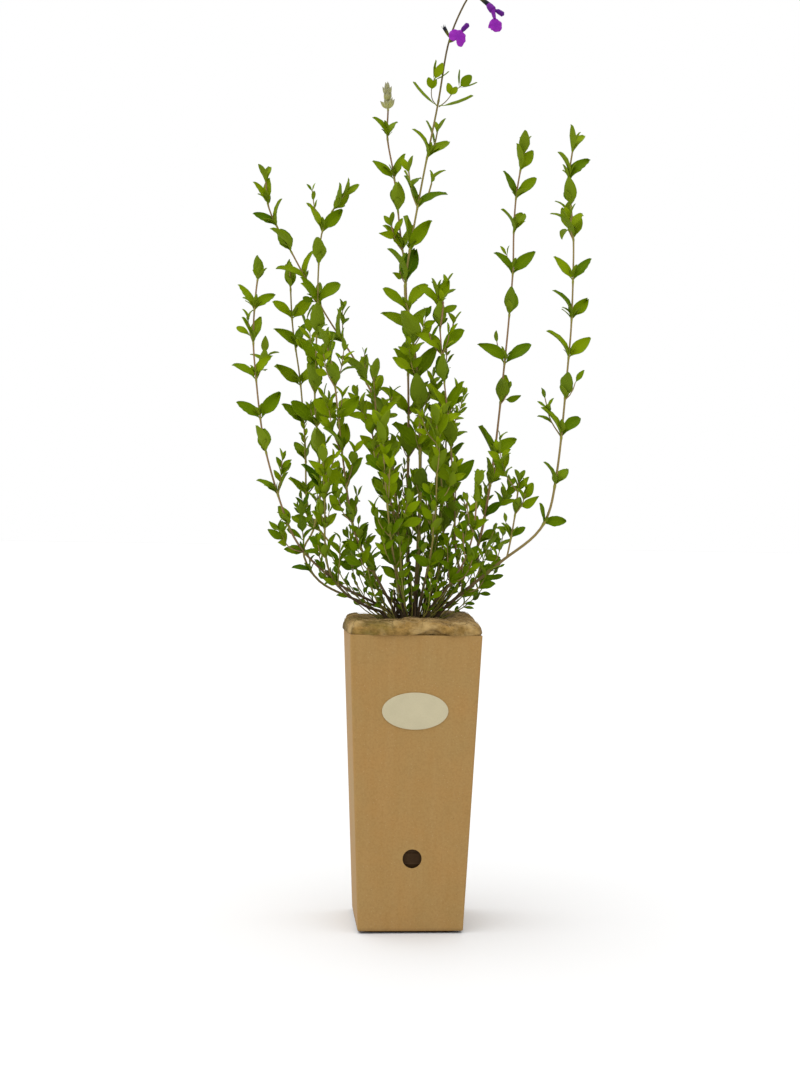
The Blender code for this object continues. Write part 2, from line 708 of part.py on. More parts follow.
def plan_tip(name, part, draw, path, leaves):
    """The bunch of small upright leaves at a stem's tip: two pairs, turned a quarter from each other."""
    tip = path[-1]
    direction = (path[-1] - path[-2]).normalized()
    for back, share, pitch, turn in TIP_PAIRS:
        for side in (0, 1):
            azimuth = math.radians(part["turn"] + turn + 180 * side)
            size = part["leaves"][1] * share * draw.uniform(0.9, 1.1)
            leaves.append(leaf_at(tip - direction * back, direction, azimuth, math.radians(pitch),
                                  math.radians(TIP_TWIST), size, SLIM, (name, "tip")))


def shoot_with_room(leaf, side, reach, others):
    """The line of a short side shoot above a leaf, turned until it clears the stems of the other solids."""
    for change in (0, 30, -30, 60, -60, 90):
        azimuth = leaf["azimuth"] + math.radians(20 + change) + (0.0 if side > 0 else math.pi)
        start, _ = way_out(leaf["direction"], azimuth, math.radians(34))
        end = leaf["place"] + start * reach * 0.75 + Vector((0.0, 0.0, reach * 0.35))
        path = thinned(smooth_path((leaf["place"], leaf["place"] + start * reach * 0.5, end)))
        tree = tube_tree(path, SHOOT_THICK)
        if not any(tree.overlap(other) for other in others):
            return path
    return None


def plan_shoot_leaves(name, path, pair_count, length, draw, leaves):
    """The leaf pairs of a side shoot, and the pair at its tip."""
    for pair in range(pair_count + 1):
        at_tip = pair == pair_count
        share = 0.95 if at_tip else (pair + 1) / (pair_count + 1)
        place, direction = at_height(path, path[0].z + (path[-1].z - path[0].z) * share)
        size = length * (0.72 if at_tip else 1.0)
        pitch = math.radians(26 if at_tip else 50)
        for side in (0, 1):
            azimuth = math.radians(40 + 90 * pair + 180 * side)
            twist = math.radians(draw.uniform(*LEAF_TWIST))
            leaves.append(leaf_at(place, direction, azimuth, pitch, twist, size * draw.uniform(0.9, 1.1), SLIM,
                                  (name, pair)))


def tree_of(points, faces):
    """A search tree of a mesh."""
    return BVHTree.FromPolygons([tuple(point) for point in points], faces)


def tube_tree(path, thick):
    """A search tree of a tube that is thicker by the clearance."""
    made = tube("trial", path, thick, LEAF_CLEARANCE)
    points = [vertex.co / MM for vertex in made.data.vertices]
    faces = [tuple(face.vertices) for face in made.data.polygons]
    bpy.data.objects.remove(made, do_unlink=True)
    return tree_of(points, faces)


def settled_leaves(plans, obstacles):
    """Moves each leaf clear of everything else. A leaf with no room is left out."""
    changes = [(0, 0, 1.0)]
    for shorter in (1.0, 0.85, 0.7):
        for azimuth in (0, 16, -16, 32, -32, 48, -48):
            for pitch in (0, 12, -12, -24):
                changes.append((azimuth, pitch, shorter))
    tubes = {name: [tube_tree(path, thick) for path, thick in plan[0]] for name, plan in plans.items()}
    placed = []
    kept = {name: [] for name in plans}
    for name, (_, leaves) in plans.items():
        others = [tree for other, trees in tubes.items() if other != name for tree in trees] + obstacles
        for leaf in leaves:
            for azimuth, pitch, shorter in changes:
                trial = leaf_at(leaf["place"], leaf["direction"], leaf["azimuth"] + math.radians(azimuth),
                                leaf["pitch"] + math.radians(pitch), leaf["twist"], leaf["length"] * shorter,
                                leaf["outline"], leaf["node"])
                if has_room(trial, others, placed):
                    tree = tree_of(leaf_points(trial), leaf_faces(trial))
                    placed.append((leaf_middle(trial), trial, tree))
                    kept[name].append(trial)
                    break
    return kept


def leaf_middle(leaf):
    """The place half-way along a leaf."""
    return leaf["root"] + leaf["along"] * leaf["length"] / 2


def has_room(leaf, others, placed):
    """Whether a leaf clears the other solids' stems and all the leaves placed so far."""
    tree = tree_of(leaf_points(leaf, LEAF_CLEARANCE), leaf_faces(leaf))
    if any(tree.overlap(other) for other in others):
        return False
    middle = leaf_middle(leaf)
    for other_middle, other, other_tree in placed:
        if other["node"] == leaf["node"]:
            continue
        if (other_middle - middle).length > (other["length"] + leaf["length"]) / 2 + 3:
            continue
        if tree.overlap(other_tree):
            return False
    return True


def make_stem(name, tubes, leaves, extras, surface):
    """One leafy stem as one solid."""
    stem = tube(name, *tubes[0])
    stem.data.materials.append(surface)
    pieces = [tube("shoot", path, thick) for path, thick in tubes[1:]]
    for leaf in leaves:
        pieces.append(mesh_object("leaf", leaf_points(leaf), leaf_faces(leaf)))
    pieces += extras
    boolean(stem, collected(name + "_pieces", pieces), "UNION")
    flatten = stem.modifiers.new("Flatten", "DECIMATE")
    flatten.decimate_type = "DISSOLVE"
    flatten.angle_limit = math.radians(FLAT_DEGREES)
    bpy.ops.object.modifier_apply(modifier=flatten.name)


def calyx(start, end, mouth):
    """A flower's calyx: a slim cup that widens from the stem to its mouth."""
    start = Vector(start)
    end = Vector(end)
    way = end - start
    rings = []
    for share, radius in ((-0.1, 0.5), (0.35, 0.9), (0.6, mouth * 0.85), (1.0, mouth)):
        rings.append(ring_round(start + way * share, way, radius, 6))
    return lofted("calyx", rings, None)


def make_bloom(name, flower, surface):
    """One open flower: a tube that swells from the calyx, a hood above and a lobed lip below."""
    mouth = Vector(flower["calyx"][1])
    way = (mouth - Vector(flower["calyx"][0])).normalized()
    throat = Vector(flower["tube"])
    start = mouth + way * GAP
    body = lofted(name, [
        ring_round(start, way, 1.3, 8),
        ring_round(start.lerp(throat, 0.5), throat - start, 1.9, 8),
        ring_round(throat, throat - start, 2.3, 8),
        ring_round(throat + (throat - start).normalized() * 1.6, throat - start, 1.5, 8),
    ], surface)
    hood_middle = Vector(flower["hood"][0])
    hood_tip = Vector(flower["hood"][1])
    hood = lofted("hood", [
        ring_round(throat, hood_middle - throat, 1.2, 7),
        ring_round(hood_middle, hood_tip - throat, 1.5, 7),
        ring_round(hood_tip, hood_tip - hood_middle, 0.9, 7),
    ], None)
    lip = make_lip(flower)
    neck = lofted("neck", [
        ring_round(throat, Vector(flower["lip_centre"]) - throat, 1.5, 7),
        ring_round(Vector(flower["lip_centre"]), Vector(flower["lip_centre"]) - throat, 1.2, 7),
    ], None)
    boolean(body, collected(name + "_pieces", [hood, neck, lip]), "UNION")
    return body


def make_lip(flower):
    """The flower's lower lip: a thin two-lobed plate."""
    right = Vector(flower["lip_right"]).normalized()
    down = Vector(flower["lip_down"])
    down = (down - right * down.dot(right)).normalized()
    front = right.cross(down)
    centre = Vector(flower["lip_centre"])
    size = flower["lip_size"]
    spots = (*LIP_OUTLINE, (0.0, 1.0))
    points = []
    for lift in (LIP_THICKNESS / 2, -LIP_THICKNESS / 2):
        for x, y in spots:
            bow = 0.02 * (x * x + 0.5 * y * y)
            points.append(tuple(centre + right * (x * size) + down * (y * size) + front * (lift + bow)))
    rim = len(LIP_OUTLINE)
    other = len(spots)
    faces = []
    for i in range(rim):
        j = (i + 1) % rim
        faces.append((rim, j, i))
        faces.append((rim + other, i + other, j + other))
        faces.append((i, j, j + other))
        faces.append((i, j + other, i + other))
    return mesh_object("lip", points, faces)


def make_bud_spike(surface):
    """The pale young flower spike: a row of small swellings that ends in a point."""
    start, end = (Vector(place) for place in BUD_PLACES)
    way = end - start
    rings = []
    swellings = ((0.0, 0.9), (0.12, 2.8), (0.44, 4.8), (0.56, 2.7), (0.80, 4.1), (0.92, 2.6), (1.0, 0.8))
    for share, radius in swellings:
        rings.append(ring_round(start + way * share, way, radius, 6))
    return lofted("bud_spike", rings, surface)


def solid_tree(made):
    """A search tree of a finished object, in millimetres."""
    points = [vertex.co / MM for vertex in made.data.vertices]
    faces = [tuple(face.vertices) for face in made.data.polygons]
    return tree_of(points, faces)


def main():
    """Builds the pot and what fills it, then every stem and flower."""
    clear_scene()
    draw = random.Random(LEAF_SEED)
    make_sleeve()
    make_label()
    make_pot()
    make_soil([(stem["route"][0][:2], stem["thick"][0]) for stem in STEMS.values()])
    mat = make_mat()
    green = material("leaf", (0.13, 0.25, 0.012), 0.55)
    violet = material("petal", (0.30, 0.035, 0.42), 0.6)
    blooms = [make_bloom(name, flower, violet) for name, flower in FLOWERS.items()]
    bud = make_bud_spike(material("bud", (0.42, 0.44, 0.22), 0.7))
    trunks = {}
    shoots = []
    for name, stem in STEMS.items():
        for part_name, part in stem_parts(name, stem):
            trunks[part_name] = trunk_path(part, part is not stem)
            shoots.append((name, tube_tree(trunks[part_name], part["thick"])))
    plans = {name: plan_stem(name, stem, draw, trunks, shoots) for name, stem in STEMS.items()}
    leaves = settled_leaves(plans, [solid_tree(each) for each in [mat, bud, *blooms]])
    for name, (tubes, _) in plans.items():
        extras = []
        if name == "stem_flowering":
            extras = [calyx(*flower["calyx"], 1.7) for flower in FLOWERS.values()]
            extras.append(calyx(*SPENT_CALYX, 1.4))
        make_stem(name, tubes, leaves[name], extras, green)


main()
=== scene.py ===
"""A potted salvia dressed for close views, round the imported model.

Every leafy stem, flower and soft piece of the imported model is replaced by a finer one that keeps
its form and its place. Routes, heights and leaf sizes are millimetres, as in the model's own
source. Meshes, and values inside materials, are in metres.
"""

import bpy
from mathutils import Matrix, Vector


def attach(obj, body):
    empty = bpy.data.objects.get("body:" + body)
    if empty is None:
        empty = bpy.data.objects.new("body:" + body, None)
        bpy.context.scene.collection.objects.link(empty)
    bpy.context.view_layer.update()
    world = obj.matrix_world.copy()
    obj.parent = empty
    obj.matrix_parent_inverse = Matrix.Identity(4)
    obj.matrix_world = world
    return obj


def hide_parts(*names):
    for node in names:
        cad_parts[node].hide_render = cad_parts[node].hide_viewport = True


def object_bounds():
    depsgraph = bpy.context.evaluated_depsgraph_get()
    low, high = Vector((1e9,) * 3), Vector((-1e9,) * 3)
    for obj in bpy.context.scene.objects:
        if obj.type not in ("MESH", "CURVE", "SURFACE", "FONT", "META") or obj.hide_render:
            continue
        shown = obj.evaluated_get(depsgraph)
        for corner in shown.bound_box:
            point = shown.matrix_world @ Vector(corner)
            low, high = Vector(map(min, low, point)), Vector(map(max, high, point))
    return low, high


bl_info = {
    "name": "Potted salvia",
    "version": (1, 0, 0),
    "blender": (4, 5, 0),
    "location": "3D View > Sidebar > Salvia",
    "description": "Dresses a potted salvia: stems, leaves, flowers, fibre pad, pot and card sleeve",
    "category": "Object",
}

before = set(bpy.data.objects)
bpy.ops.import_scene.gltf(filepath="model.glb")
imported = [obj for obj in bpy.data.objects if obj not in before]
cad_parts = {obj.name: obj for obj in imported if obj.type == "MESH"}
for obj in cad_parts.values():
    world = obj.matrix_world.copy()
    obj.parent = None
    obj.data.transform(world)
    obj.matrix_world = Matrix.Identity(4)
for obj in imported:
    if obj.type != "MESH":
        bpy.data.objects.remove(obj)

import math
import random

import bmesh
import bpy
from bpy.props import FloatProperty, FloatVectorProperty, IntProperty
from mathutils import Matrix, Vector, noise
from mathutils.bvhtree import BVHTree
from mathutils.kdtree import KDTree

CAD_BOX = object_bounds()
MM = 0.001

# Pot, sleeve and label, in millimetres, as in the model's source
SLEEVE_TOP_WIDTH = 100.0
SLEEVE_FOOT_WIDTH = 80.0
SLEEVE_HEIGHT = 224.0
SLEEVE_WALL = 1.0
SLEEVE_CORNER = 1.6
SLEEVE_FOOT_Z = 2.0
SLEEVE_TOP_Z = SLEEVE_FOOT_Z + SLEEVE_HEIGHT
GAP = 0.3
POT_HEIGHT = 222.0
POT_WALL = 1.3
POT_FLOOR = 2.5
POT_CORNER = 9.0
POT_RIM_DEPTH = 14.0
POT_RIM_STEP = 1.6
DRAIN_RADIUS = 4.0
DRAIN_PLACES = ((21.0, 21.0), (-21.0, 21.0), (21.0, -21.0), (-21.0, -21.0))
HOLE_RADIUS = 7.2
HOLE_Z = 57.0
LABEL_WIDTH = 50.0
LABEL_HEIGHT = 28.0
LABEL_THICKNESS = 0.6
LABEL_Z = 169.0
SOIL_TOP = 221.5
STEM_SOCKET = 14.0
MAT_BOTTOM = 222.3
MAT_BULGE = 50.1
MAT_TOP = 236.5
CROWN_HALF_X = 24.0
CROWN_HALF_Y = 15.0

# Finer details of the pot and the sleeve, in millimetres
SLEEVE_BOW = 0.25
SLEEVE_PANEL = 11.0
RIB_HEIGHTS = (HOLE_Z - 4.4, HOLE_Z + 3.6)
RIB_RISE = 0.5
RIB_HALF = 0.7
CRUMBS = 230
CRUMB_SIZE = (0.9, 2.3)

# The fibre pad's finer form, in millimetres: how far it spreads over the sleeve and drapes over its
# edge, its lumps, the slit under its front edge and its raised right part
PAD_VOXEL = 1.4
PAD_LUMPS = 1.3
PAD_ROUGHNESS = 0.45
PAD_SPREAD = 1.3
PAD_SKIRT = 1.2
PAD_SKIRT_Z = 227.2
PAD_DRAPE = 1.1
PAD_LEFT_SPREAD = 0.7
SLIT_X = 12
SLIT_HALF = 9
SLIT_HEIGHT = 4.0
PAD_RIGHT_RISE = 3.2
STRANDS = 420
STRAND_RADIUS = 0.11
STRAND_STEP = 2.0

# How leaves are set, in millimetres and degrees, as in the model's source
LEAF_THICKNESS = 0.7
LEAF_CLEARANCE = 0.45
LEAF_ARCH = 0.06
LEAF_CURL = 0.04
LEAF_ROOT = 0.4
TOOTHED = ((0.38, 0.50), (0.62, 0.41), (0.70, 0.43))
PLAIN = ((0.36, 0.50), (0.70, 0.41))
SLIM = ((0.46, 0.46),)
TOOTHED_LENGTH = 24.5
SLIM_LENGTH = 18.5
LEAF_WIDTH_SHARE = 0.53
LEAF_PITCH = (30, 50)
TIP_PITCH_LESS = 12
FACING_PITCH_LESS = 12
FOOT_LEAF_SHARE = 0.55
FOOT_LEAF_Z = 255.0
FULL_LEAF_Z = 365.0
LEAF_TWIST = (45, 80)
TIP_TWIST = 28
LEAF_SEED = 11
STEM_SIDES = 4
STEM_TAPER = 0.8
RING_SPACING = 40.0
TIP_PAIRS = ((3.4, 0.86, 28, 60), (1.3, 0.62, 15, -25))
SHOOT_THICK = (1.0, 0.85)
PATH_SLACK = 0.3
PATH_STEP = 3.0

# The stems' routes, as in the model's source: places, thickness at foot and tip, heights of the
# leaf pairs, turn of each pair where the photo shows it, turn of the topmost pair or tip, and
# length of the lower and the upper leaves
STEMS = {
    "stem_far_left": {
        "route": ((-14, 2, 228), (-16, 0, 240), (-33, -5, 250), (-52, -9, 259), (-74, -14, 276),
                  (-90, -17, 294), (-101, -18, 318), (-116, -16, 368), (-124, -12, 425), (-126, -8, 457),
                  (-124, -4, 492), (-121, -1, 506)),
        "thick": (1.5, 0.8),
        "pairs": (264, 286, 306, 330, 362, 388, 418, 446, 472, 495),
        "turns": (80, 8, 78, 6, 82, 5, 8, 42, 5, 80),
        "turn": 12,
        "leaves": (21, 17),
    },
    "stem_back_left": {
        "route": ((-6, 4, 228), (-6, 8, 246), (-8, 19, 297), (-20, 32, 385), (-41, 44, 434), (-50, 48, 450),
                  (-70, 54, 481), (-97, 58, 529), (-115, 60, 562), (-119, 60, 588)),
        "thick": (2.0, 0.8),
        "pairs": (300, 330, 358, 390, 422, 456, 485, 506, 529, 550, 567),
        "turns": (6, 84, 4, 80, 44, -44, 42, 6, 82, 4, 40),
        "turn": 10,
        "leaves": (25, 17.5),
        "shoots": ((3, 1, 26, 1),),
    },
    "stem_left_middle": {
        "route": ((-13, 8, 228), (-17, 9, 241), (-47, 18, 251), (-72, 29, 264), (-84, 37, 286),
                  (-76, 38, 304), (-71, 36, 336), (-75, 32, 386), (-77, 30, 413), (-76, 26, 479),
                  (-76, 22, 508), (-74, 20, 537), (-66, 18, 555), (-57, 15, 568)),
        "thick": (1.4, 0.8),
        "pairs": (270, 312, 336, 360, 386, 412, 434, 458, 483, 513, 539, 556),
        "turns": (8, 80, 4, 84, 6, 78, 5, 82, 6, 80, 5, 42),
        "turn": -12,
        "leaves": (24, 18),
    },
    "stem_back_far_left": {
        "route": ((-6, 10, 228), (-9, 15, 244), (-36, 38, 268), (-64, 56, 296), (-80, 63, 322),
                  (-83, 67, 372), (-88, 67, 425), (-95, 66, 470), (-98, 63, 514)),
        "thick": (1.5, 0.8),
        "pairs": (276, 303, 332, 360, 390, 422, 452, 476, 500),
        "turns": (6, 80, 5, -42, 8, 4, 44, 6, 80),
        "turn": -25,
        "leaves": (22, 17),
    },
    "stem_front_left": {
        "route": ((-12, -6, 228), (-14, -9, 242), (-32, -20, 274), (-47, -27, 304), (-57, -32, 360),
                  (-64, -33, 416), (-70, -31, 444)),
        "thick": (1.6, 0.8),
        "pairs": (272, 290, 309, 337, 362, 386, 412, 430),
        "turns": (80, 6, 82, 5, 44, 6, 80, 8),
        "turn": 0,
        "leaves": (24, 18),
        "shoots": ((2, 1, 26, 1),),
    },
    "stem_bud_spike": {
        "route": ((2, 8, 228), (1, 12, 245), (-2, 22, 300), (-2, 24, 340), (-3, 20, 408), (-7, 15, 499),
                  (-12, 11, 535), (-18, 8, 580), (-24, 7, 611), (-24, 6, 634)),
        "thick": (2.2, 0.8),
        "bare_tip": True,
        "pairs": (290, 326, 362, 396, 428, 462, 499, 525, 554, 580, 612),
        "turns": (80, 6, 82, 8, 84, 5, 78, 4, 85, 6, 35),
        "turn": 15,
        "leaves": (24, 17),
        "shoots": ((7, -1, 20, 1),),
    },
    "stem_flowering": {
        "route": ((3, 1, 228), (3, 0, 245), (5, -6, 328), (2, -8, 417), (-6, -7, 470), (-9, -5, 499),
                  (2, -4, 571), (14, -3, 636), (22, -2, 686), (35, -1, 719), (41, 0, 725), (47, 1, 726),
                  (52, 1, 723)),
        "thick": (2.4, 0.85),
        "bare_tip": True,
        "pairs": (300, 332, 366, 396, 421, 447, 474, 496, 522, 556, 595, 639),
        "turns": (6, 84, 5, 80, 8, 82, 6, 44, -44, 4, 42, 5),
        "turn": 5,
        "leaves": (26, 20),
        "shoots": ((9, 1, 22, 1), (9, -1, 26, 1), (10, 1, 24, 1), (11, 1, 22, 1), (11, -1, 20, 1)),
    },
    "stem_right": {
        "route": ((18, 3, 228), (21, 4, 241), (41, 4, 268), (54, 4, 300), (64, 5, 363), (71, 4, 437),
                  (74, 3, 475), (76, 1, 510), (76, 0, 540), (77, -2, 566), (80, -3, 588), (82, -4, 602)),
        "thick": (1.9, 0.8),
        "pairs": (276, 295, 316, 341, 363, 405, 437, 475, 507, 539, 566, 587),
        "turns": (80, 6, -45, 42, 5, 85, 6, 70, 4, 50, 8, 40),
        "turn": 10,
        "leaves": (22, 18.5),
        "branch": {
            "route": ((40, 4, 267), (34, -3, 290), (31, -11, 329), (26, -17, 381), (20, -19, 428),
                      (15, -17, 486)),
            "thick": (1.3, 0.8),
            "pairs": (312, 340, 368, 394, 418, 440, 460, 477),
            "turn": -6,
            "leaves": (24, 17),
            "shoots": ((5, 1, 24, 1), (6, -1, 20, 1), (7, 1, 18, 1)),
        },
    },
    "stem_far_right": {
        "route": ((18, -5, 228), (21, -7, 240), (37, -16, 256), (65, -29, 281), (95, -41, 309),
                  (105, -46, 351), (112, -48, 437), (114, -47, 466), (115, -45, 500), (115, -44, 527),
                  (113, -43, 552), (111, -42, 573), (114, -41, 597)),
        "thick": (2.0, 0.8),
        "pairs": (256, 274, 311, 340, 377, 405, 437, 466, 496, 527, 552, 572),
        "turns": (6, 80, 5, 45, 8, 75, 10, 30, 5, 40, 70, 6),
        "turn": -8,
        "leaves": (21, 19),
        "shoots": ((9, -1, 16, 1),),
        "branch": {
            "route": ((70, -31, 285), (72, -35, 298), (75, -38, 320), (77, -40, 344)),
            "thick": (1.0, 0.85),
            "pairs": (300, 318, 335),
            "turn": 0,
            "leaves": (17, 13),
        },
    },
    "stem_low_left": {
        "route": ((-19, -4, 228), (-22, -5, 240), (-35, -11, 245), (-53, -18, 256), (-65, -25, 272),
                  (-69, -31, 292), (-70, -38, 326), (-72, -43, 356)),
        "thick": (2.1, 0.8),
        "pairs": (262, 282, 304, 325, 344),
        "turn": 20,
        "leaves": (22, 16),
    },
    "stem_woody_middle": {
        "route": ((-4, -3, 228), (-6, -4, 248), (-9, -5, 272), (-12, -6, 307), (-19, -9, 328),
                  (-25, -12, 352), (-31, -15, 395), (-33, -16, 420)),
        "thick": (2.5, 0.8),
        "pairs": (276, 302, 328, 354, 380, 404),
        "turn": 40,
        "leaves": (25, 19),
        "shoots": ((3, -1, 26, 1),),
    },
    "stem_back_right": {
        "route": ((10, 6, 228), (12, 10, 250), (16, 18, 275), (22, 27, 300), (26, 33, 330), (29, 37, 360),
                  (30, 39, 400)),
        "thick": (1.8, 0.8),
        "pairs": (272, 300, 328, 356, 384),
        "turn": 70,
        "leaves": (25, 19),
        "shoots": ((2, 1, 26, 1),),
    },
    "stem_front_middle": {
        "route": ((-5, -10, 228), (-7, -14, 248), (-14, -26, 270), (-19, -36, 295), (-23, -42, 322),
                  (-26, -46, 350), (-28, -47, 380)),
        "thick": (1.7, 0.8),
        "pairs": (276, 299, 322, 345, 366),
        "turn": 60,
        "leaves": (25, 19),
        "shoots": ((2, 1, 24, 1),),
    },
    "stem_front_right": {
        "route": ((4, -7, 228), (6, -12, 250), (10, -24, 275), (13, -33, 300), (14, -39, 330), (14, -42, 360),
                  (13, -43, 386)),
        "thick": (1.8, 0.8),
        "pairs": (276, 300, 322, 346, 370),
        "turn": 20,
        "leaves": (25, 19),
        "shoots": ((1, 1, 26, 1),),
    },
    "stem_woody_right": {
        "route": ((11, -1, 228), (14, -1, 250), (21, 2, 274), (25, 8, 296), (25, 12, 322), (23, 14, 350),
                  (19, 17, 392)),
        "thick": (2.3, 0.8),
        "pairs": (276, 302, 328, 354, 380),
        "turn": -10,
        "leaves": (25, 19),
    },
    "stem_low_right": {
        "route": ((11, -8, 228), (14, -12, 245), (26, -24, 262), (37, -34, 282), (43, -40, 306),
                  (45, -43, 340)),
        "thick": (1.5, 0.8),
        "pairs": (264, 284, 304, 324),
        "turn": 35,
        "leaves": (23, 18),
    },
}

# The two open flowers, in millimetres: those of the model's source, with finer places and outlines
FLOWERS = {
    "bloom_front": {
        "calyx": ((22, -2, 686), (26, -6, 688)),
        "throat": (29.5, -9.5, 690),
        "hood": ((32, -12, 693.4), (35.3, -13, 696.8)),
        "tube_dark": 0.25,
        "lip_centre": (28.8, -14, 690.0),
        "lip_right": (0.96, 0.22, -0.10),
        "lip_down": (0.12, -0.30, -0.95),
        "lip_size": 1.04,
        "lip_middle": (-0.8, 3.4),
        "lip_outline": ((-1.2, -2.4), (-4.0, -2.0), (-6.8, -0.5), (-8.0, 2.4), (-7.6, 5.6), (-5.6, 8.0),
                        (-3.2, 8.0), (-2.0, 6.0), (-1.9, 9.6), (-1.0, 11.6), (1.0, 11.8), (3.0, 10.6),
                        (4.0, 7.8), (5.6, 5.6), (5.0, 2.6), (5.2, 0.2), (3.4, -1.4), (1.4, -2.6)),
    },
    "bloom_hanging": {
        "calyx": ((43, 0, 725), (52, -3, 717)),
        "throat": (55.7, -5, 711.8),
        "hood": ((60.0, -5, 710.8), (63.8, -5, 708.6)),
        "tube_dark": 0.75,
        "lip_centre": (57.0, -8, 703.8),
        "lip_right": (0.93, 0.30, 0.10),
        "lip_down": (0.05, -0.28, -0.96),
        "lip_size": 1.0,
        "lip_middle": (0.0, 4.8),
        "lip_outline": ((-0.8, -0.6), (-2.8, 0.6), (-4.8, 2.6), (-6.2, 5.6), (-6.6, 9.4), (-5.4, 9.8),
                        (-4.4, 7.6), (-3.2, 9.4), (-1.0, 10.9), (1.4, 10.7), (3.9, 9.2), (5.5, 6.4),
                        (5.7, 3.4), (4.5, 1.0), (2.8, 0.4), (1.0, -0.4)),
    },
}
TUBE_RADII = (1.4, 2.7, 3.0, 1.0)
HOOD_RADII = (1.5, 1.25, 1.9, 2.05, 0.3)
NECK_RADII = (2.0, 1.5, 1.1)
CALYX_RADIUS = 1.75
SPENT_CALYX = ((22.4, -2, 690), (18.4, -2, 697))
SPENT_RADIUS = 1.45
LIP_SIDES = 44
LIP_RINGS = 5
LIP_THICKNESS = 0.45

# The spike of buds: its ends, and for each whorl its share of the spike, the number of buds, how far
# out they stand, their lean in degrees, their length and their radius
BUD_PLACES = ((-24.1, 6, 634.4), (-25.4, 5.5, 655))
BUD_WHORLS = ((0.02, 6, 2.1, 38, 8.4, 1.75), (0.30, 6, 1.6, 24, 7.2, 1.6), (0.50, 6, 1.3, 26, 7.4, 1.55),
              (0.66, 4, 0.8, 14, 7.0, 1.4), (0.74, 2, 0.4, 6, 6.0, 1.2))

# The topmost joint of the flowering stem, whose long thin leaves and two leafy side shoots lie as
# the photo shows them: routes, and each leaf's root, tip, the way that its blade faces, and kind
FRONT = (0.1, -1.0, 0.1)
SIDEWAYS = (0.3, -0.25, 1.0)
CROSSWAYS = (1.0, -0.3, 0.0)
TOP_JOINT_Z = 632.0
TOP_SHOOT_THICK = (0.55, 0.4)
TOP_SHOOTS = (((14, -3, 635), (10, -3, 640), (9, -3, 644), (9, -3, 649), (11, -3, 657)),
              ((15, -3, 635), (20, -3, 639), (24, -3, 644), (27, -3, 648), (31, -3, 651)))
TOP_LEAVES = (
    ((14, -3, 636), (-6, -4, 653), SIDEWAYS, "thin"),
    ((15, -3, 636), (42, -4, 644), SIDEWAYS, "thin"),
    ((9, -4, 648), (6.5, -6, 657), FRONT, "broad"),
    ((9, -4, 648), (13, -5, 656), FRONT, "small"),
    ((11, -3, 656), (18, -4, 669), FRONT, "small"),
    ((11, -3, 656), (12, -1, 672), CROSSWAYS, "thin"),
    ((11, -3, 656), (23, -2, 663), SIDEWAYS, "thin"),
    ((24, -4, 644), (21, -6, 653), FRONT, "broad"),
    ((24, -4, 644), (28.5, -5, 651), FRONT, "broad"),
    ((31, -3, 651), (40.5, -4, 660), FRONT, "broad"),
    ((31, -3, 651), (30.5, -2, 665), CROSSWAYS, "thin"),
    ((31, -3, 651), (45, -3, 655), SIDEWAYS, "thin"),
)

# Leaf outlines for close views: share of the length, and half the width by the length
CRENATE_EDGE = ((0.0, 0.014), (0.08, 0.020), (0.17, 0.095), (0.28, 0.185), (0.39, 0.228), (0.49, 0.212),
                (0.60, 0.213), (0.70, 0.178), (0.81, 0.148), (0.90, 0.090), (0.97, 0.042), (1.0, 0.012))
EVEN_EDGE = ((0.0, 0.014), (0.08, 0.020), (0.17, 0.085), (0.29, 0.175), (0.42, 0.218), (0.55, 0.212),
             (0.69, 0.178), (0.82, 0.124), (0.92, 0.068), (0.98, 0.030), (1.0, 0.012))
BLUNT_EDGE = ((0.0, 0.014), (0.09, 0.024), (0.20, 0.085), (0.36, 0.160), (0.52, 0.212), (0.66, 0.220),
              (0.80, 0.182), (0.91, 0.118), (0.98, 0.058), (1.0, 0.018))
SLIM_EDGE = ((0.0, 0.018), (0.10, 0.030), (0.26, 0.150), (0.46, 0.225), (0.66, 0.198), (0.84, 0.122),
             (0.95, 0.062), (1.0, 0.018))
UPRIGHT_EDGE = ((0.0, 0.020), (0.12, 0.042), (0.34, 0.125), (0.58, 0.162), (0.80, 0.120), (0.94, 0.060),
                (1.0, 0.018))
TINY_EDGE = ((0.0, 0.020), (0.30, 0.160), (0.58, 0.200), (0.84, 0.120), (1.0, 0.018))
THIN_EDGE = ((0.0, 0.016), (0.14, 0.026), (0.34, 0.110), (0.54, 0.130), (0.78, 0.082), (0.94, 0.038),
             (1.0, 0.012))
BROAD_EDGE = ((0.0, 0.018), (0.10, 0.030), (0.20, 0.150), (0.34, 0.262), (0.48, 0.300), (0.62, 0.285),
              (0.76, 0.240), (0.88, 0.165), (0.96, 0.090), (1.0, 0.024))

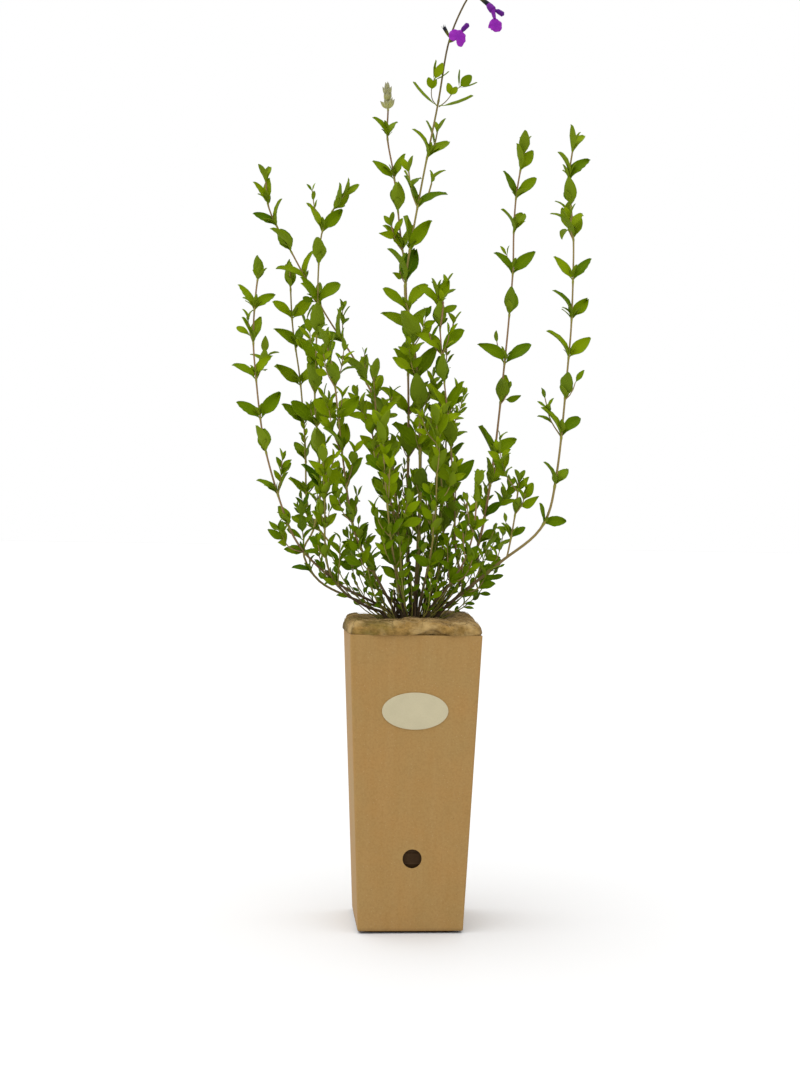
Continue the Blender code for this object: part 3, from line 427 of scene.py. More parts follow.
# Leaf patterns: outline, number of strips across, arch, curl, fold along the midrib, wave of the
# edge, bend to one side, and turn of the tip in degrees
LEAF_PATTERNS = {
    "crenate_flat": (CRENATE_EDGE, 4, 0.05, 0.04, 0.050, 0.005, 0.03, 10),
    "crenate_cupped": (CRENATE_EDGE, 4, 0.07, 0.16, 0.085, 0.008, -0.06, -22),
    "even_flat": (EVEN_EDGE, 4, 0.05, 0.03, 0.045, 0.004, -0.04, -8),
    "even_curled": (EVEN_EDGE, 4, 0.10, 0.24, 0.070, 0.006, 0.05, 26),
    "even_folded": (EVEN_EDGE, 4, 0.03, -0.05, 0.120, 0.004, 0.06, -30),
    "blunt_flat": (BLUNT_EDGE, 4, 0.04, 0.02, 0.050, 0.004, -0.05, 12),
    "blunt_curled": (BLUNT_EDGE, 4, 0.08, 0.14, 0.080, 0.006, 0.07, -18),
    "slim_flat": (SLIM_EDGE, 2, 0.05, 0.04, 0.045, 0.0, 0.04, 12),
    "slim_cupped": (SLIM_EDGE, 2, 0.07, 0.10, 0.080, 0.0, -0.06, -20),
    "upright_flat": (UPRIGHT_EDGE, 2, 0.05, 0.02, 0.045, 0.0, 0.05, 14),
    "upright_curled": (UPRIGHT_EDGE, 2, 0.08, 0.14, 0.060, 0.0, -0.07, -22),
    "thin_hollow": (THIN_EDGE, 2, -0.07, -0.02, 0.045, 0.0, 0.03, 22),
    "broad_flat": (BROAD_EDGE, 4, 0.05, 0.04, 0.040, 0.005, 0.04, 8),
    "broad_cupped": (BROAD_EDGE, 4, 0.07, 0.10, 0.070, 0.008, -0.05, -14),
    "tiny_flat": (TINY_EDGE, 2, 0.05, 0.04, 0.035, 0.0, 0.03, 0),
    "tiny_cupped": (TINY_EDGE, 2, 0.02, -0.04, 0.055, 0.0, -0.04, 12),
}
LEAF_KINDS = {
    "pair": ("crenate_flat", "crenate_cupped", "even_flat", "even_curled", "even_folded", "blunt_flat",
             "blunt_curled"),
    "small": ("slim_flat", "slim_cupped", "even_flat", "blunt_flat", "even_curled"),
    "tip": ("upright_flat", "upright_curled", "slim_flat"),
    "tiny": ("tiny_flat", "tiny_cupped"),
    "thin": ("thin_hollow",),
    "broad": ("broad_flat", "broad_cupped"),
}
FULL_GROWN = 1.19
TINY_LENGTH = 8.5
PAIR_LENGTH = 14
LEAF_TINT_SPREAD = 0.27

# How the small growth in the leaf axils is drawn: length in millimetres, turn and pitch in degrees
AXIL_LEAVES = 3
AXIL_LENGTH = (4.5, 10.5)
AXIL_TURN = 62
AXIL_PITCH = (14, 50)
AXIL_TWIST = (-10, 40)

# How the twigs of the inner bush are drawn, in millimetres and degrees
TWIG_TRIES = 4
TWIG_REACH = (12, 34)
TWIG_TURN = 65
TWIG_PITCH = (18, 46)
TWIG_STEP = 7.5
TWIG_LEAF = (8.5, 16.5)
TWIG_LEAF_PITCH = (28, 52)
TWIG_THICK = (0.75, 0.5)
TWIG_MARGIN = 2.0

# How the young shoots and the old stubs round the foot are drawn, in millimetres and degrees
FOOT_SHOOTS = 50
FOOT_REACH = (34, 100)
FOOT_LEAN = (8, 68)
FOOT_THICK = (0.85, 0.5)
FOOT_LEAF_STEP = 7.5
FOOT_LEAF = (8.0, 15.0)
FOOT_LEAF_PITCH = (30, 58)
STUBS = 38
STUB_REACH = (12, 30)
STUB_LEAN = (2, 26)
STUB_THICK = (2.3, 0.8)

# How a stem swells at its joints and where its skin turns woody or dark, in millimetres
JOINT_SHIFTS = (-1.7, -0.7, 0.0, 0.7, 1.7)
JOINT_HALF = 1.5
NEAREST_RINGS = 0.25
STEM_FALL = 2.6
BARK_Z = (300, 250)
DARK_TOP_Z = (590, 680)
DARK_TOP = 0.8


def rgb(name, description, default):
    """A colour that a user may change."""
    return FloatVectorProperty(name=name, description=description, default=default, subtype="COLOR", size=3,
                               min=0.0, max=1.0)


class SalviaStage(bpy.types.PropertyGroup):
    """Camera, lights and floor."""

    lens: FloatProperty(name="Lens", description="Focal length of the camera", default=52.6, unit="CAMERA")
    distance: FloatProperty(name="Distance", description="How far the camera stands from the stem's middle",
                            default=1.217, unit="LENGTH")
    height: FloatProperty(name="Height", description="Height of the camera above the floor", default=0.302,
                          unit="LENGTH")
    aside: FloatProperty(name="Aside", description="How far the camera stands to the right",
                         default=-0.0096, unit="LENGTH")
    turn: FloatProperty(name="Turn", description="Turn of the camera round the upright axis",
                        default=math.radians(4.8), subtype="ANGLE")
    roll: FloatProperty(name="Roll", description="Tilt of the picture", default=math.radians(0.95),
                        subtype="ANGLE")
    daylight: FloatProperty(name="Daylight", description="Strength of the white surroundings", default=1.0,
                            min=0.0)
    key: FloatProperty(name="Key light", description="Strength of the soft light from above", default=2.3,
                       min=0.0)
    floor_colour: rgb("Floor", "Colour of the floor", (0.64, 0.64, 0.64))


class SalviaLeaves(bpy.types.PropertyGroup):
    """Blades and stems."""

    thickness: FloatProperty(name="Thickness", description="Thickness of a blade by its length", default=0.02)
    bright: rgb("Sunlit green", "Upper side of a leaf in the open", (0.162, 0.232, 0.0))
    # The deep green also serves as painted shade: leaves lower in the bush get more of it.
    deep: rgb("Deep green", "Upper side of an older leaf", (0.044, 0.100, 0.0))
    young: rgb("Young green", "Upper side of a young leaf", (0.200, 0.268, 0.002))
    under: rgb("Underside", "Paler lower side of a leaf", (0.150, 0.212, 0.014))
    vein: rgb("Vein", "Midrib and side veins", (0.200, 0.262, 0.008))
    bark: rgb("Bark", "Old wood at the foot of a stem", (0.036, 0.021, 0.011))
    shoot: rgb("Stem", "Stem between two leaf pairs", (0.245, 0.142, 0.070))
    joint: rgb("Stem joint", "Stem where leaves grow", (0.235, 0.245, 0.030))
    seed: IntProperty(name="Seed", description="Draw of the colours and of the small leaves", default=4)


class SalviaFlowers(bpy.types.PropertyGroup):
    """Flowers, calyxes and buds."""

    petal: rgb("Petal", "Lower lip of a flower", (0.245, 0.016, 0.335))
    petal_heart: rgb("Petal heart", "Middle of the lower lip", (0.185, 0.010, 0.290))
    hood: rgb("Hood", "Hood of a flower", (0.082, 0.008, 0.165))
    calyx: rgb("Calyx", "Foot of a calyx", (0.130, 0.135, 0.008))
    calyx_tip: rgb("Calyx tip", "Teeth of a calyx", (0.007, 0.008, 0.016))
    bud: rgb("Bud", "Downy bud", (0.355, 0.350, 0.085))
    bud_shade: rgb("Bud shade", "Shaded side of a bud", (0.150, 0.140, 0.080))


class SalviaPot(bpy.types.PropertyGroup):
    """Sleeve, label, pot, compost and fibre pad."""

    card: rgb("Card", "Kraft card of the sleeve", (0.335, 0.200, 0.066))
    card_edge: rgb("Card edge", "Cut edge of the card", (0.23, 0.13, 0.045))
    label: rgb("Label", "Paper of the label", (0.450, 0.400, 0.260))
    plastic: rgb("Plastic", "Pot", (0.038, 0.019, 0.007))
    compost: rgb("Compost", "Compost", (0.030, 0.018, 0.011))
    fibre: rgb("Fibre", "Fibre pad", (0.320, 0.192, 0.056))
    # The fibre shade is partly darker fibres and partly painted shade in the pad's hollows.
    fibre_shade: rgb("Fibre shade", "Darker fibres of the pad", (0.110, 0.064, 0.015))
    moss: rgb("Moss", "Green growth on the pad", (0.135, 0.110, 0.014))


def ramp(value, low, high):
    """0 at one value, 1 at another, and a share between them."""
    return min(1.0, max(0.0, (value - low) / (high - low)))


def deselect_all():
    """Leaves nothing selected, in object mode."""
    if bpy.context.object and bpy.context.object.mode != "OBJECT":
        bpy.ops.object.mode_set(mode="OBJECT")
    bpy.ops.object.select_all(action="DESELECT")


def added(operator, name, **settings):
    """The object that one of Blender's own operators adds, alone selected."""
    deselect_all()
    operator(**settings)
    bpy.context.object.name = name
    return bpy.context.object


def work_on(piece):
    """Makes one object the selected and active one."""
    deselect_all()
    piece.select_set(True)
    bpy.context.view_layer.objects.active = piece


def edit(piece):
    """Opens one object in edit mode, with all of it selected."""
    work_on(piece)
    bpy.ops.object.mode_set(mode="EDIT")
    bpy.ops.mesh.select_mode(type="VERT")
    bpy.ops.mesh.select_all(action="SELECT")


def done_editing():
    """Goes back to object mode."""
    bpy.ops.object.mode_set(mode="OBJECT")


def face_outwards():
    """Turns all faces of the object in edit mode outwards, and goes back to object mode."""
    bpy.ops.mesh.select_all(action="SELECT")
    bpy.ops.mesh.normals_make_consistent(inside=False)
    done_editing()


def pick(kind, test):
    """Selects, in edit mode, the points or the faces that pass a test, and nothing else."""
    bpy.ops.mesh.select_mode(type=kind)
    mesh = bpy.context.object.data
    shape = bmesh.from_edit_mesh(mesh)
    for each in shape.verts if kind == "VERT" else shape.faces:
        each.select_set(bool(test(each)))
    shape.select_flush_mode()
    bmesh.update_edit_mesh(mesh)


def raise_face(stations, unit=1.0):
    """Draws the selected face through stations, each a height and half a width."""
    for (low, small), (high, large) in zip(stations, stations[1:]):
        bpy.ops.mesh.extrude_region_move(TRANSFORM_OT_translate={"value": (0, 0, (high - low) * unit)})
        bpy.ops.transform.resize(value=(large / small, large / small, 1), center_override=(0, 0, high * unit))


def apply_modifier(piece, kind, **settings):
    """Adds one modifier with its settings and applies it."""
    work_on(piece)
    modifier = piece.modifiers.new(kind.title(), kind)
    for name, value in settings.items():
        setattr(modifier, name, value)
    bpy.ops.object.modifier_apply(modifier=modifier.name)


def cut_out(piece, cutter):
    """Cuts the form of a helper object out of a piece, and removes the helper."""
    apply_modifier(piece, "BOOLEAN", operation="DIFFERENCE", solver="EXACT", object=cutter)
    remove([cutter])


def settle(piece):
    """Puts the object's place into its mesh, and leaves the object at the origin."""
    work_on(piece)
    bpy.ops.object.transform_apply(location=True, rotation=True, scale=True)


def smooth_by_angle(piece, degrees):
    """Shades a piece smooth, apart from its sharp edges."""
    work_on(piece)
    bpy.ops.object.shade_smooth_by_angle(angle=math.radians(degrees))


def joined(name, pieces):
    """Joins several objects into the first one."""
    deselect_all()
    for piece in pieces:
        piece.select_set(True)
    bpy.context.view_layer.objects.active = pieces[0]
    bpy.ops.object.join()
    pieces[0].name = name
    pieces[0].data.name = name
    return pieces[0]


def copied(pattern, matrix):
    """A copy of a pattern with its own mesh, set in place."""
    copy = bpy.data.objects.new(pattern.name + "_copy", pattern.data.copy())
    bpy.context.scene.collection.objects.link(copy)
    copy.matrix_world = matrix
    return copy


def remove(pieces):
    """Removes helper objects."""
    for piece in pieces:
        bpy.data.objects.remove(piece, do_unlink=True)


def finished(piece, slot, *nodes):
    """Hands a piece to the model: it rides on the pot, and stands for these nodes."""
    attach(piece, "root")
    if nodes:
        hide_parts(*nodes)
    return piece


def set_look(mesh, values):
    """Writes the look attribute: three values for each point."""
    look = mesh.attributes.get("look") or mesh.attributes.new("look", "FLOAT_COLOR", "POINT")
    flat = []
    for red, green, blue in values:
        flat += (red, green, blue, 1.0)
    look.data.foreach_set("color", flat)


def change_look(mesh, parts):
    """Sets some of the three values of the look attribute to one value at every point."""
    look = mesh.attributes["look"].data
    values = [0.0] * (4 * len(look))
    look.foreach_get("color", values)
    for part, value in parts.items():
        values[part::4] = [value] * len(look)
    look.foreach_set("color", values)


def look_by_place(mesh, places, values):
    """Gives each point of a mesh the look of the nearest of some places."""
    tree = KDTree(len(places))
    for i, place in enumerate(places):
        tree.insert(place, i)
    tree.balance()
    set_look(mesh, [values[tree.find(vertex.co)[1]] for vertex in mesh.vertices])


class Finish:
    """A material whose nodes are added one by one."""

    def __init__(self, name, colour, roughness, **settings):
        self.material = bpy.data.materials.new(name)
        self.material.use_nodes = True
        self.nodes = self.material.node_tree.nodes
        self.links = self.material.node_tree.links
        self.shader = self.nodes["Principled BSDF"]
        self.shader.inputs["Base Color"].default_value = (*colour, 1.0)
        self.shader.inputs["Roughness"].default_value = roughness
        for socket, value in settings.items():
            self.shader.inputs[socket.replace("_", " ")].default_value = value
        self.place = self.nodes.new("ShaderNodeTexCoord").outputs["Object"]

    def give(self, socket, value):
        """Sets a socket to a number or a colour, or links it."""
        if isinstance(value, bpy.types.NodeSocket):
            self.links.new(value, socket)
        elif hasattr(value, "__len__"):
            socket.default_value = (*value, 1.0)[:len(socket.default_value)]
        else:
            socket.default_value = value

    def stretched(self, scale):
        """Object coordinates stretched by a scale for each axis."""
        mapping = self.nodes.new("ShaderNodeMapping")
        mapping.inputs["Scale"].default_value = scale
        self.links.new(self.place, mapping.inputs["Vector"])
        return mapping.outputs["Vector"]

    def noise(self, scale, detail=3.0, rough=0.55, source=None):
        """A cloudy pattern, from 0 to 1."""
        made = self.nodes.new("ShaderNodeTexNoise")
        made.inputs["Scale"].default_value = scale
        made.inputs["Detail"].default_value = detail
        made.inputs["Roughness"].default_value = rough
        self.links.new(source or self.place, made.inputs["Vector"])
        return made.outputs["Fac"]

    def cells(self, scale):
        """The distance to the nearest of many scattered points."""
        made = self.nodes.new("ShaderNodeTexVoronoi")
        made.inputs["Scale"].default_value = scale
        self.links.new(self.place, made.inputs["Vector"])
        return made.outputs["Distance"]

    def sum(self, operation, first, second=0.0, clamp=False):
        """One sum on one or two values."""
        made = self.nodes.new("ShaderNodeMath")
        made.operation = operation
        made.use_clamp = clamp
        self.give(made.inputs[0], first)
        self.give(made.inputs[1], second)
        return made.outputs[0]

    def plus(self, first, second, clamp=False):
        """Two values added."""
        return self.sum("ADD", first, second, clamp)

    def minus(self, first, second):
        """One value less another."""
        return self.sum("SUBTRACT", first, second)

    def times(self, first, second):
        """Two values multiplied."""
        return self.sum("MULTIPLY", first, second)

    def between(self, value, low, high):
        """0 at one value, 1 at another, and a ramp between them."""
        made = self.nodes.new("ShaderNodeMapRange")
        made.inputs["From Min"].default_value = low
        made.inputs["From Max"].default_value = high
        self.links.new(value, made.inputs["Value"])
        return made.outputs["Result"]

    def mix(self, share, first, second):
        """A blend of two colours."""
        made = self.nodes.new("ShaderNodeMix")
        made.data_type = "RGBA"
        self.give(made.inputs["Factor"], share)
        self.give(made.inputs[6], first)
        self.give(made.inputs[7], second)
        return made.outputs[2]

    def over(self, skin, colour, mask, share):
        """A colour with some share of another laid over it where a mask says so."""
        return self.mix(self.times(mask, share), skin, colour)

    def parts_of(self, vector):
        """The three parts of a vector."""
        made = self.nodes.new("ShaderNodeSeparateXYZ")
        self.links.new(vector, made.inputs[0])
        return made.outputs

    def look(self):
        """The piece's own look attribute, as three values."""
        made = self.nodes.new("ShaderNodeAttribute")
        made.attribute_name = "look"
        return self.parts_of(made.outputs["Vector"])

    def uv(self):
        """The piece's own UV map."""
        made = self.nodes.new("ShaderNodeUVMap")
        made.uv_map = "UVMap"
        return self.parts_of(made.outputs["UV"])

    def bump(self, height, depth, strength=1.0):
        """Relief of some depth in metres."""
        made = self.nodes.new("ShaderNodeBump")
        made.inputs["Strength"].default_value = strength
        made.inputs["Distance"].default_value = depth
        self.links.new(height, made.inputs["Height"])
        self.links.new(made.outputs["Normal"], self.shader.inputs["Normal"])

    def colour(self, value):
        """Sets the surface colour."""
        self.give(self.shader.inputs["Base Color"], value)

    def roughness(self, base, pattern, depth):
        """Sets a roughness that varies with a pattern."""
        self.give(self.shader.inputs["Roughness"], self.plus(base, self.times(pattern, depth)))


def scaled(colour, *scales):
    """A colour with its parts multiplied by one scale, or by three."""
    return tuple(value * scale for value, scale in zip(colour, scales * (3 // len(scales))))


def leaf_finish(colours):
    """Leaf skin: green that differs from leaf to leaf, paler below and on veins, quilted between them."""
    made = Finish("leaf_skin", colours.bright, 0.6, Specular_IOR_Level=0.03)
    tint, underside, youth = made.look()
    along, across, _ = made.uv()
    aside = made.sum("ABSOLUTE", made.minus(across, 0.5))
    midrib = made.between(aside, 0.05, 0.012)
    phase = made.minus(made.times(along, 8.0), made.times(aside, 5.0))
    side_vein = made.between(made.sum("PINGPONG", phase, 0.5), 0.16, 0.03)
    vein = made.sum("MAXIMUM", midrib, made.times(side_vein, 0.45))
    mottle = made.noise(220.0)
    shade = made.plus(tint, made.times(made.minus(mottle, 0.5), 0.35), clamp=True)
    # Deep to sunlit green by each leaf's tint. The tint is lower for leaves lower in the bush, as painted
    # shade.
    green = made.mix(shade, colours.deep, colours.bright)
    green = made.mix(youth, green, colours.young)
    green = made.over(green, colours.vein, vein, 0.22)
    made.colour(made.over(green, colours.under, underside, 0.6))
    made.roughness(0.52, mottle, 0.16)
    made.bump(made.minus(made.times(mottle, 0.6), made.times(vein, 0.8)), 0.00012, 0.7)
    return made.material


def stem_finish(colours):
    """Stem skin: brown bark below, pinkish brown above, olive at the joints."""
    made = Finish("stem_skin", colours.shoot, 0.65, Specular_IOR_Level=0.04)
    tint, woody, joint = made.look()
    streak = made.noise(900.0, source=made.stretched((1.0, 1.0, 0.12)))
    flecks = made.noise(420.0, 4.0)
    skin = made.mix(joint, colours.shoot, colours.joint)
    skin = made.over(skin, colours.joint, tint, 0.8)
    skin = made.mix(woody, skin, colours.bark)
    skin = made.over(skin, (0.26, 0.20, 0.11), made.between(streak, 0.25, 0.75), 0.3)
    made.colour(made.over(skin, colours.bark, made.between(flecks, 0.55, 0.8), 0.2))
    made.bump(made.plus(streak, made.times(flecks, woody)), 0.00025, 0.8)
    return made.material


def card_finish(colours):
    """Kraft card: mottled pulp with upright streaks, pale and dark flecks, a soft tooth, and painted shade
    along its foot.
    """
    made = Finish("kraft_card", colours.card, 0.86, Specular_IOR_Level=0.15, Sheen_Weight=0.05)
    cloud = made.noise(34.0, 4.0)
    streak = made.noise(160.0, source=made.stretched((1.0, 1.0, 0.08)))
    pulp = made.noise(620.0, 5.0, 0.7)
    warm = scaled(colours.card, 1.03, 0.97, 0.93)
    cool = scaled(colours.card, 0.96, 0.99, 1.02)
    skin = made.mix(made.between(cloud, 0.32, 0.68), warm, cool)
    skin = made.over(skin, (0.38, 0.25, 0.10), made.between(streak, 0.3, 0.7), 0.28)
    skin = made.over(skin, (0.21, 0.115, 0.036), made.between(pulp, 0.42, 0.75), 0.42)
    skin = made.over(skin, (0.52, 0.39, 0.22), made.between(made.cells(330.0), 0.13, 0.05), 0.35)
    skin = made.over(skin, (0.06, 0.035, 0.018), made.between(made.cells(95.0), 0.035, 0.018), 0.6)
    # Painted shade: the card is darkened along its foot, in the last few millimetres above the floor.
    z = made.parts_of(made.place)[2]
    made.colour(made.over(skin, (0.10, 0.055, 0.022), made.between(z, 0.0045, 0.002), 0.45))
    made.roughness(0.78, pulp, 0.16)
    made.bump(made.plus(pulp, made.times(streak, 0.6)), 0.00018, 0.6)
    return made.material


def card_edge_finish(colours):
    """The cut edge of the card: layers of pulp."""
    made = Finish("card_edge", colours.card_edge, 0.92, Specular_IOR_Level=0.2)
    layers = made.noise(1500.0, source=made.stretched((1.0, 1.0, 0.3)))
    made.colour(made.mix(made.between(layers, 0.3, 0.7), colours.card_edge, colours.card))
    made.bump(layers, 0.0002, 0.8)
    return made.material


def label_finish(colours):
    """Cream paper with a faint grain."""
    made = Finish("label_paper", colours.label, 0.62, Specular_IOR_Level=0.35)
    grain = made.noise(1300.0)
    cloud = made.noise(70.0)
    skin = made.mix(made.between(cloud, 0.3, 0.7), colours.label, scaled(colours.label, 1.07))
    made.colour(made.over(skin, (0.30, 0.25, 0.14), made.between(grain, 0.45, 0.8), 0.18))
    made.bump(grain, 0.00006, 0.5)
    return made.material


def plastic_finish(colours):
    """Recycled black plastic: satin, with a fine moulded grain and dusty marks."""
    made = Finish("pot_plastic", colours.plastic, 0.45, Specular_IOR_Level=0.08)
    dust = made.noise(55.0, 5.0, 0.65)
    made.colour(made.over(colours.plastic, (0.085, 0.050, 0.024), made.between(dust, 0.45, 0.75), 0.5))
    made.roughness(0.36, dust, 0.3)
    made.bump(made.noise(1800.0, 2.0), 0.00008, 0.6)
    return made.material


def compost_finish(colours):
    """Moist peat compost: dark crumbs with lighter bits."""
    made = Finish("compost_crumb", colours.compost, 0.95, Specular_IOR_Level=0.2)
    crumb = made.noise(700.0, 5.0, 0.7)
    bits = made.cells(420.0)
    skin = made.mix(made.between(crumb, 0.35, 0.7), colours.compost, (0.085, 0.052, 0.030))
    made.colour(made.over(skin, (0.16, 0.10, 0.055), made.between(bits, 0.2, 0.10), 0.4))
    made.bump(made.minus(crumb, bits), 0.0009)
    return made.material


def fibre_finish(colours):
    """Matted plant fibre: blotches and crossing hairs in several browns, with painted shade in its hollows
    and painted highlight in pale clouds, mossy at the left, moss and painted shade round the crown, and
    painted shade at its sides.
    """
    made = Finish("fibre_felt", colours.fibre, 0.93, Specular_IOR_Level=0.08, Sheen_Weight=0.05)
    cloud = made.noise(60.0, 4.0)
    blotch = made.noise(190.0, 4.0, 0.6)
    lengthways = made.noise(520.0, 4.0, 0.7, made.stretched((1.0, 0.22, 1.0)))
    crossways = made.noise(560.0, 4.0, 0.7, made.stretched((0.2, 1.0, 0.9)))
    hairs = made.sum("MAXIMUM", lengthways, crossways)
    depth = made.plus(made.times(hairs, 0.4), made.times(blotch, 0.6))
    # Painted shade: where the relief of hairs and blotches is low, the pad turns to the fibre shade; darker
    # fibres add to it.
    skin = made.mix(made.between(depth, 0.36, 0.62), colours.fibre_shade, colours.fibre)
    # Pale clouds: paler fibres, and painted highlight.
    skin = made.over(skin, (0.50, 0.345, 0.145), made.between(cloud, 0.45, 0.62), 0.7)
    x, y, _ = made.parts_of(made.place)
    patch = made.between(made.noise(45.0, 4.0, 0.6), 0.42, 0.62)
    skin = made.over(skin, colours.moss, made.times(made.between(x, 0.012, -0.040), patch), 0.6)
    # Dark olive round the crown: moss, and painted shade under the bush.
    across = made.sum("POWER", made.sum("DIVIDE", x, 0.034), 2.0)
    deep = made.sum("POWER", made.sum("DIVIDE", y, 0.024), 2.0)
    around = made.plus(made.plus(across, deep), made.times(blotch, 0.7))
    skin = made.over(skin, (0.050, 0.042, 0.010), made.between(around, 1.6, 0.9), 0.8)
    # Painted shade along the pad's left and right edges, where it hangs over the card.
    sides = made.between(made.sum("ABSOLUTE", x), 0.0500, 0.0515)
    made.colour(made.over(skin, (0.060, 0.036, 0.014), sides, 0.6))
    made.bump(made.plus(hairs, made.times(blotch, 1.2)), 0.0013)
    return made.material


def strand_finish(colours):
    """Single loose fibres."""
    made = Finish("fibre_strand", colours.fibre, 0.8, Specular_IOR_Level=0.3)
    tint, green, _ = made.look()
    skin = made.mix(tint, colours.fibre_shade, (0.46, 0.32, 0.14))
    made.colour(made.mix(green, skin, colours.moss))
    made.roughness(0.7, made.noise(900.0), 0.2)
    return made.material


def petal_finish(colours):
    """Velvety petal: violet, bluer in its heart, with fine dark veins."""
    made = Finish("petal_velvet", colours.petal, 0.6, Specular_IOR_Level=0.08, Sheen_Weight=0.12)
    made.shader.inputs["Sheen Tint"].default_value = (0.75, 0.25, 1.0, 1.0)
    heart, hood, _ = made.look()
    mottle = made.noise(800.0)
    skin = made.mix(heart, colours.petal, colours.petal_heart)
    skin = made.mix(hood, skin, colours.hood)
    made.colour(made.over(skin, scaled(colours.petal, 0.45), made.between(mottle, 0.45, 0.8), 0.35))
    made.bump(mottle, 0.0003, 0.6)
    return made.material


def calyx_finish(colours):
    """Calyx: green at its foot and blue-black at its teeth, mottled and downy."""
    made = Finish("calyx_skin", colours.calyx, 0.6, Specular_IOR_Level=0.1, Sheen_Weight=0.04)
    share = made.look()[0]
    mottle = made.noise(900.0)
    toothed = made.between(made.plus(share, made.times(mottle, 0.25)), 0.35, 0.95)
    made.colour(made.mix(toothed, colours.calyx, colours.calyx_tip))
    made.bump(mottle, 0.0002, 0.6)
    return made.material


def bud_finish(colours):
    """Downy buds: pale yellow-green, grey-purple in the shade and at the tips."""
    made = Finish("bud_down", colours.bud, 0.75, Sheen_Weight=0.5)
    share, shade, _ = made.look()
    mottle = made.noise(1200.0)
    dark_tip = made.between(made.plus(share, made.times(mottle, 0.4)), 0.55, 1.25)
    skin = made.mix(dark_tip, colours.bud, colours.bud_shade)
    made.colour(made.over(skin, colours.bud_shade, shade, 0.7))
    made.bump(mottle, 0.0002, 0.7)
    return made.material


def floor_finish(colour):
    """The pale studio floor."""
    made = Finish("studio_floor", colour, 0.7, Specular_IOR_Level=0.1)
    made.colour(made.mix(made.noise(3.0, 2.0), colour, scaled(colour, 1.01)))
    return made.material


def smooth_path(places):
    """Even, closely spaced places along a smooth curve through the chosen ones."""
    places = [Vector(place) for place in places]
    padded = [places[0] * 2 - places[1]] + places + [places[-1] * 2 - places[-2]]
    path = []
    for i in range(1, len(padded) - 2):
        before, start, end, after = padded[i - 1:i + 3]
        steps = max(2, math.ceil((end - start).length / PATH_STEP))
        for step in range(steps):
            t = step / steps
            path.append(0.5 * (2 * start + (end - before) * t
                               + (2 * before - 5 * start + 4 * end - after) * t ** 2
                               + (3 * start - before - 3 * end + after) * t ** 3))
    path.append(places[-1])
    return path


def thinned(path):
    """The path with as few places as keep it true: more where it bends, and none far apart."""
    kept = [path[0]]
    start = 0
    for end in range(2, len(path)):
        chord = path[end] - path[start]
        way = chord.normalized()
        off = max((each - path[start] - way * (each - path[start]).dot(way)).length
                  for each in path[start:end])
        if off > PATH_SLACK or chord.length > RING_SPACING:
            start = end - 1
            kept.append(path[start])
    return kept + [path[-1]]


def at_height(path, z):
    """The place and the direction where a path first reaches a height."""
    for start, end in zip(path, path[1:]):
        if start.z <= z <= end.z:
            share = (z - start.z) / max(end.z - start.z, 1e-6)
            return start.lerp(end, share), (end - start).normalized()
    raise ValueError(f"the path doesn't reach {z}")


def lengths_along(path):
    """How far along a path each of its places lies."""
    lengths = [0.0]
    for start, end in zip(path, path[1:]):
        lengths.append(lengths[-1] + (end - start).length)
    return lengths


def last_before(marks, spot):
    """The last mark, but for the end one, that isn't past a spot."""
    return min(max(i for i in range(len(marks)) if marks[i] <= spot + 1e-6), len(marks) - 2)


def place_at(path, lengths, spot):
    """The place at some length along a path."""
    i = last_before(lengths, spot)
    share = (spot - lengths[i]) / max(lengths[i + 1] - lengths[i], 1e-6)
    return path[i].lerp(path[i + 1], share)


def length_at(path, lengths, place):
    """How far along a path its nearest point to a place lies."""
    return lengths[min(range(len(path)), key=lambda i: (path[i] - place).length)]


def ring_round(centre, direction, radius, side_way):
    """A ring of points round a direction, the first of them towards a side."""
    direction = direction.normalized()
    first = (side_way - direction * side_way.dot(direction)).normalized()
    second = direction.cross(first)
    ring = []
    for i in range(STEM_SIDES):
        angle = math.tau * i / STEM_SIDES
        ring.append(tuple(centre + (first * math.cos(angle) + second * math.sin(angle)) * radius))
    return ring


def joined_rings(rings):
    """Faces that join each ring of points to the next, with end caps."""
    count = len(rings[0])
    faces = []
    for row in range(len(rings) - 1):
        below = row * count
        above = (row + 1) * count
        for i in range(count):
            j = (i + 1) % count
            faces.append((below + i, below + j, above + j, above + i))
    faces.append(tuple(reversed(range(count))))
    faces.append(tuple(range((len(rings) - 1) * count, len(rings) * count)))
    return faces


def tree_of(points, faces):
    """A search tree of a mesh."""
    return BVHTree.FromPolygons([tuple(point) for point in points], faces)


def tube_tree(path, thick):
    """A search tree of a tapering four-sided tube that is thicker by the clearance."""
    side_way = Vector((0.0, 1.0, 0.0))
    lengths = lengths_along(path)
    rings = []
    for i, place in enumerate(path):
        taper = (lengths[i] / lengths[-1]) ** STEM_TAPER
        radius = thick[0] + (thick[1] - thick[0]) * taper + LEAF_CLEARANCE
        direction = (path[min(i + 1, len(path) - 1)] - path[max(i - 1, 0)]).normalized()
        side_way = (side_way - direction * side_way.dot(direction)).normalized()
        rings.append(ring_round(place, direction, radius, side_way))
    # Rounded as in the model's source, which reads the points from a mesh in metres
    points = [Vector(point) * MM / MM for ring in rings for point in ring]
    return tree_of(points, joined_rings(rings))


def solid_tree(node):
    """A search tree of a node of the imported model, in millimetres."""
    points = [vertex.co / MM for vertex in node.data.vertices]
    faces = [tuple(face.vertices) for face in node.data.polygons]
    return tree_of(points, faces)


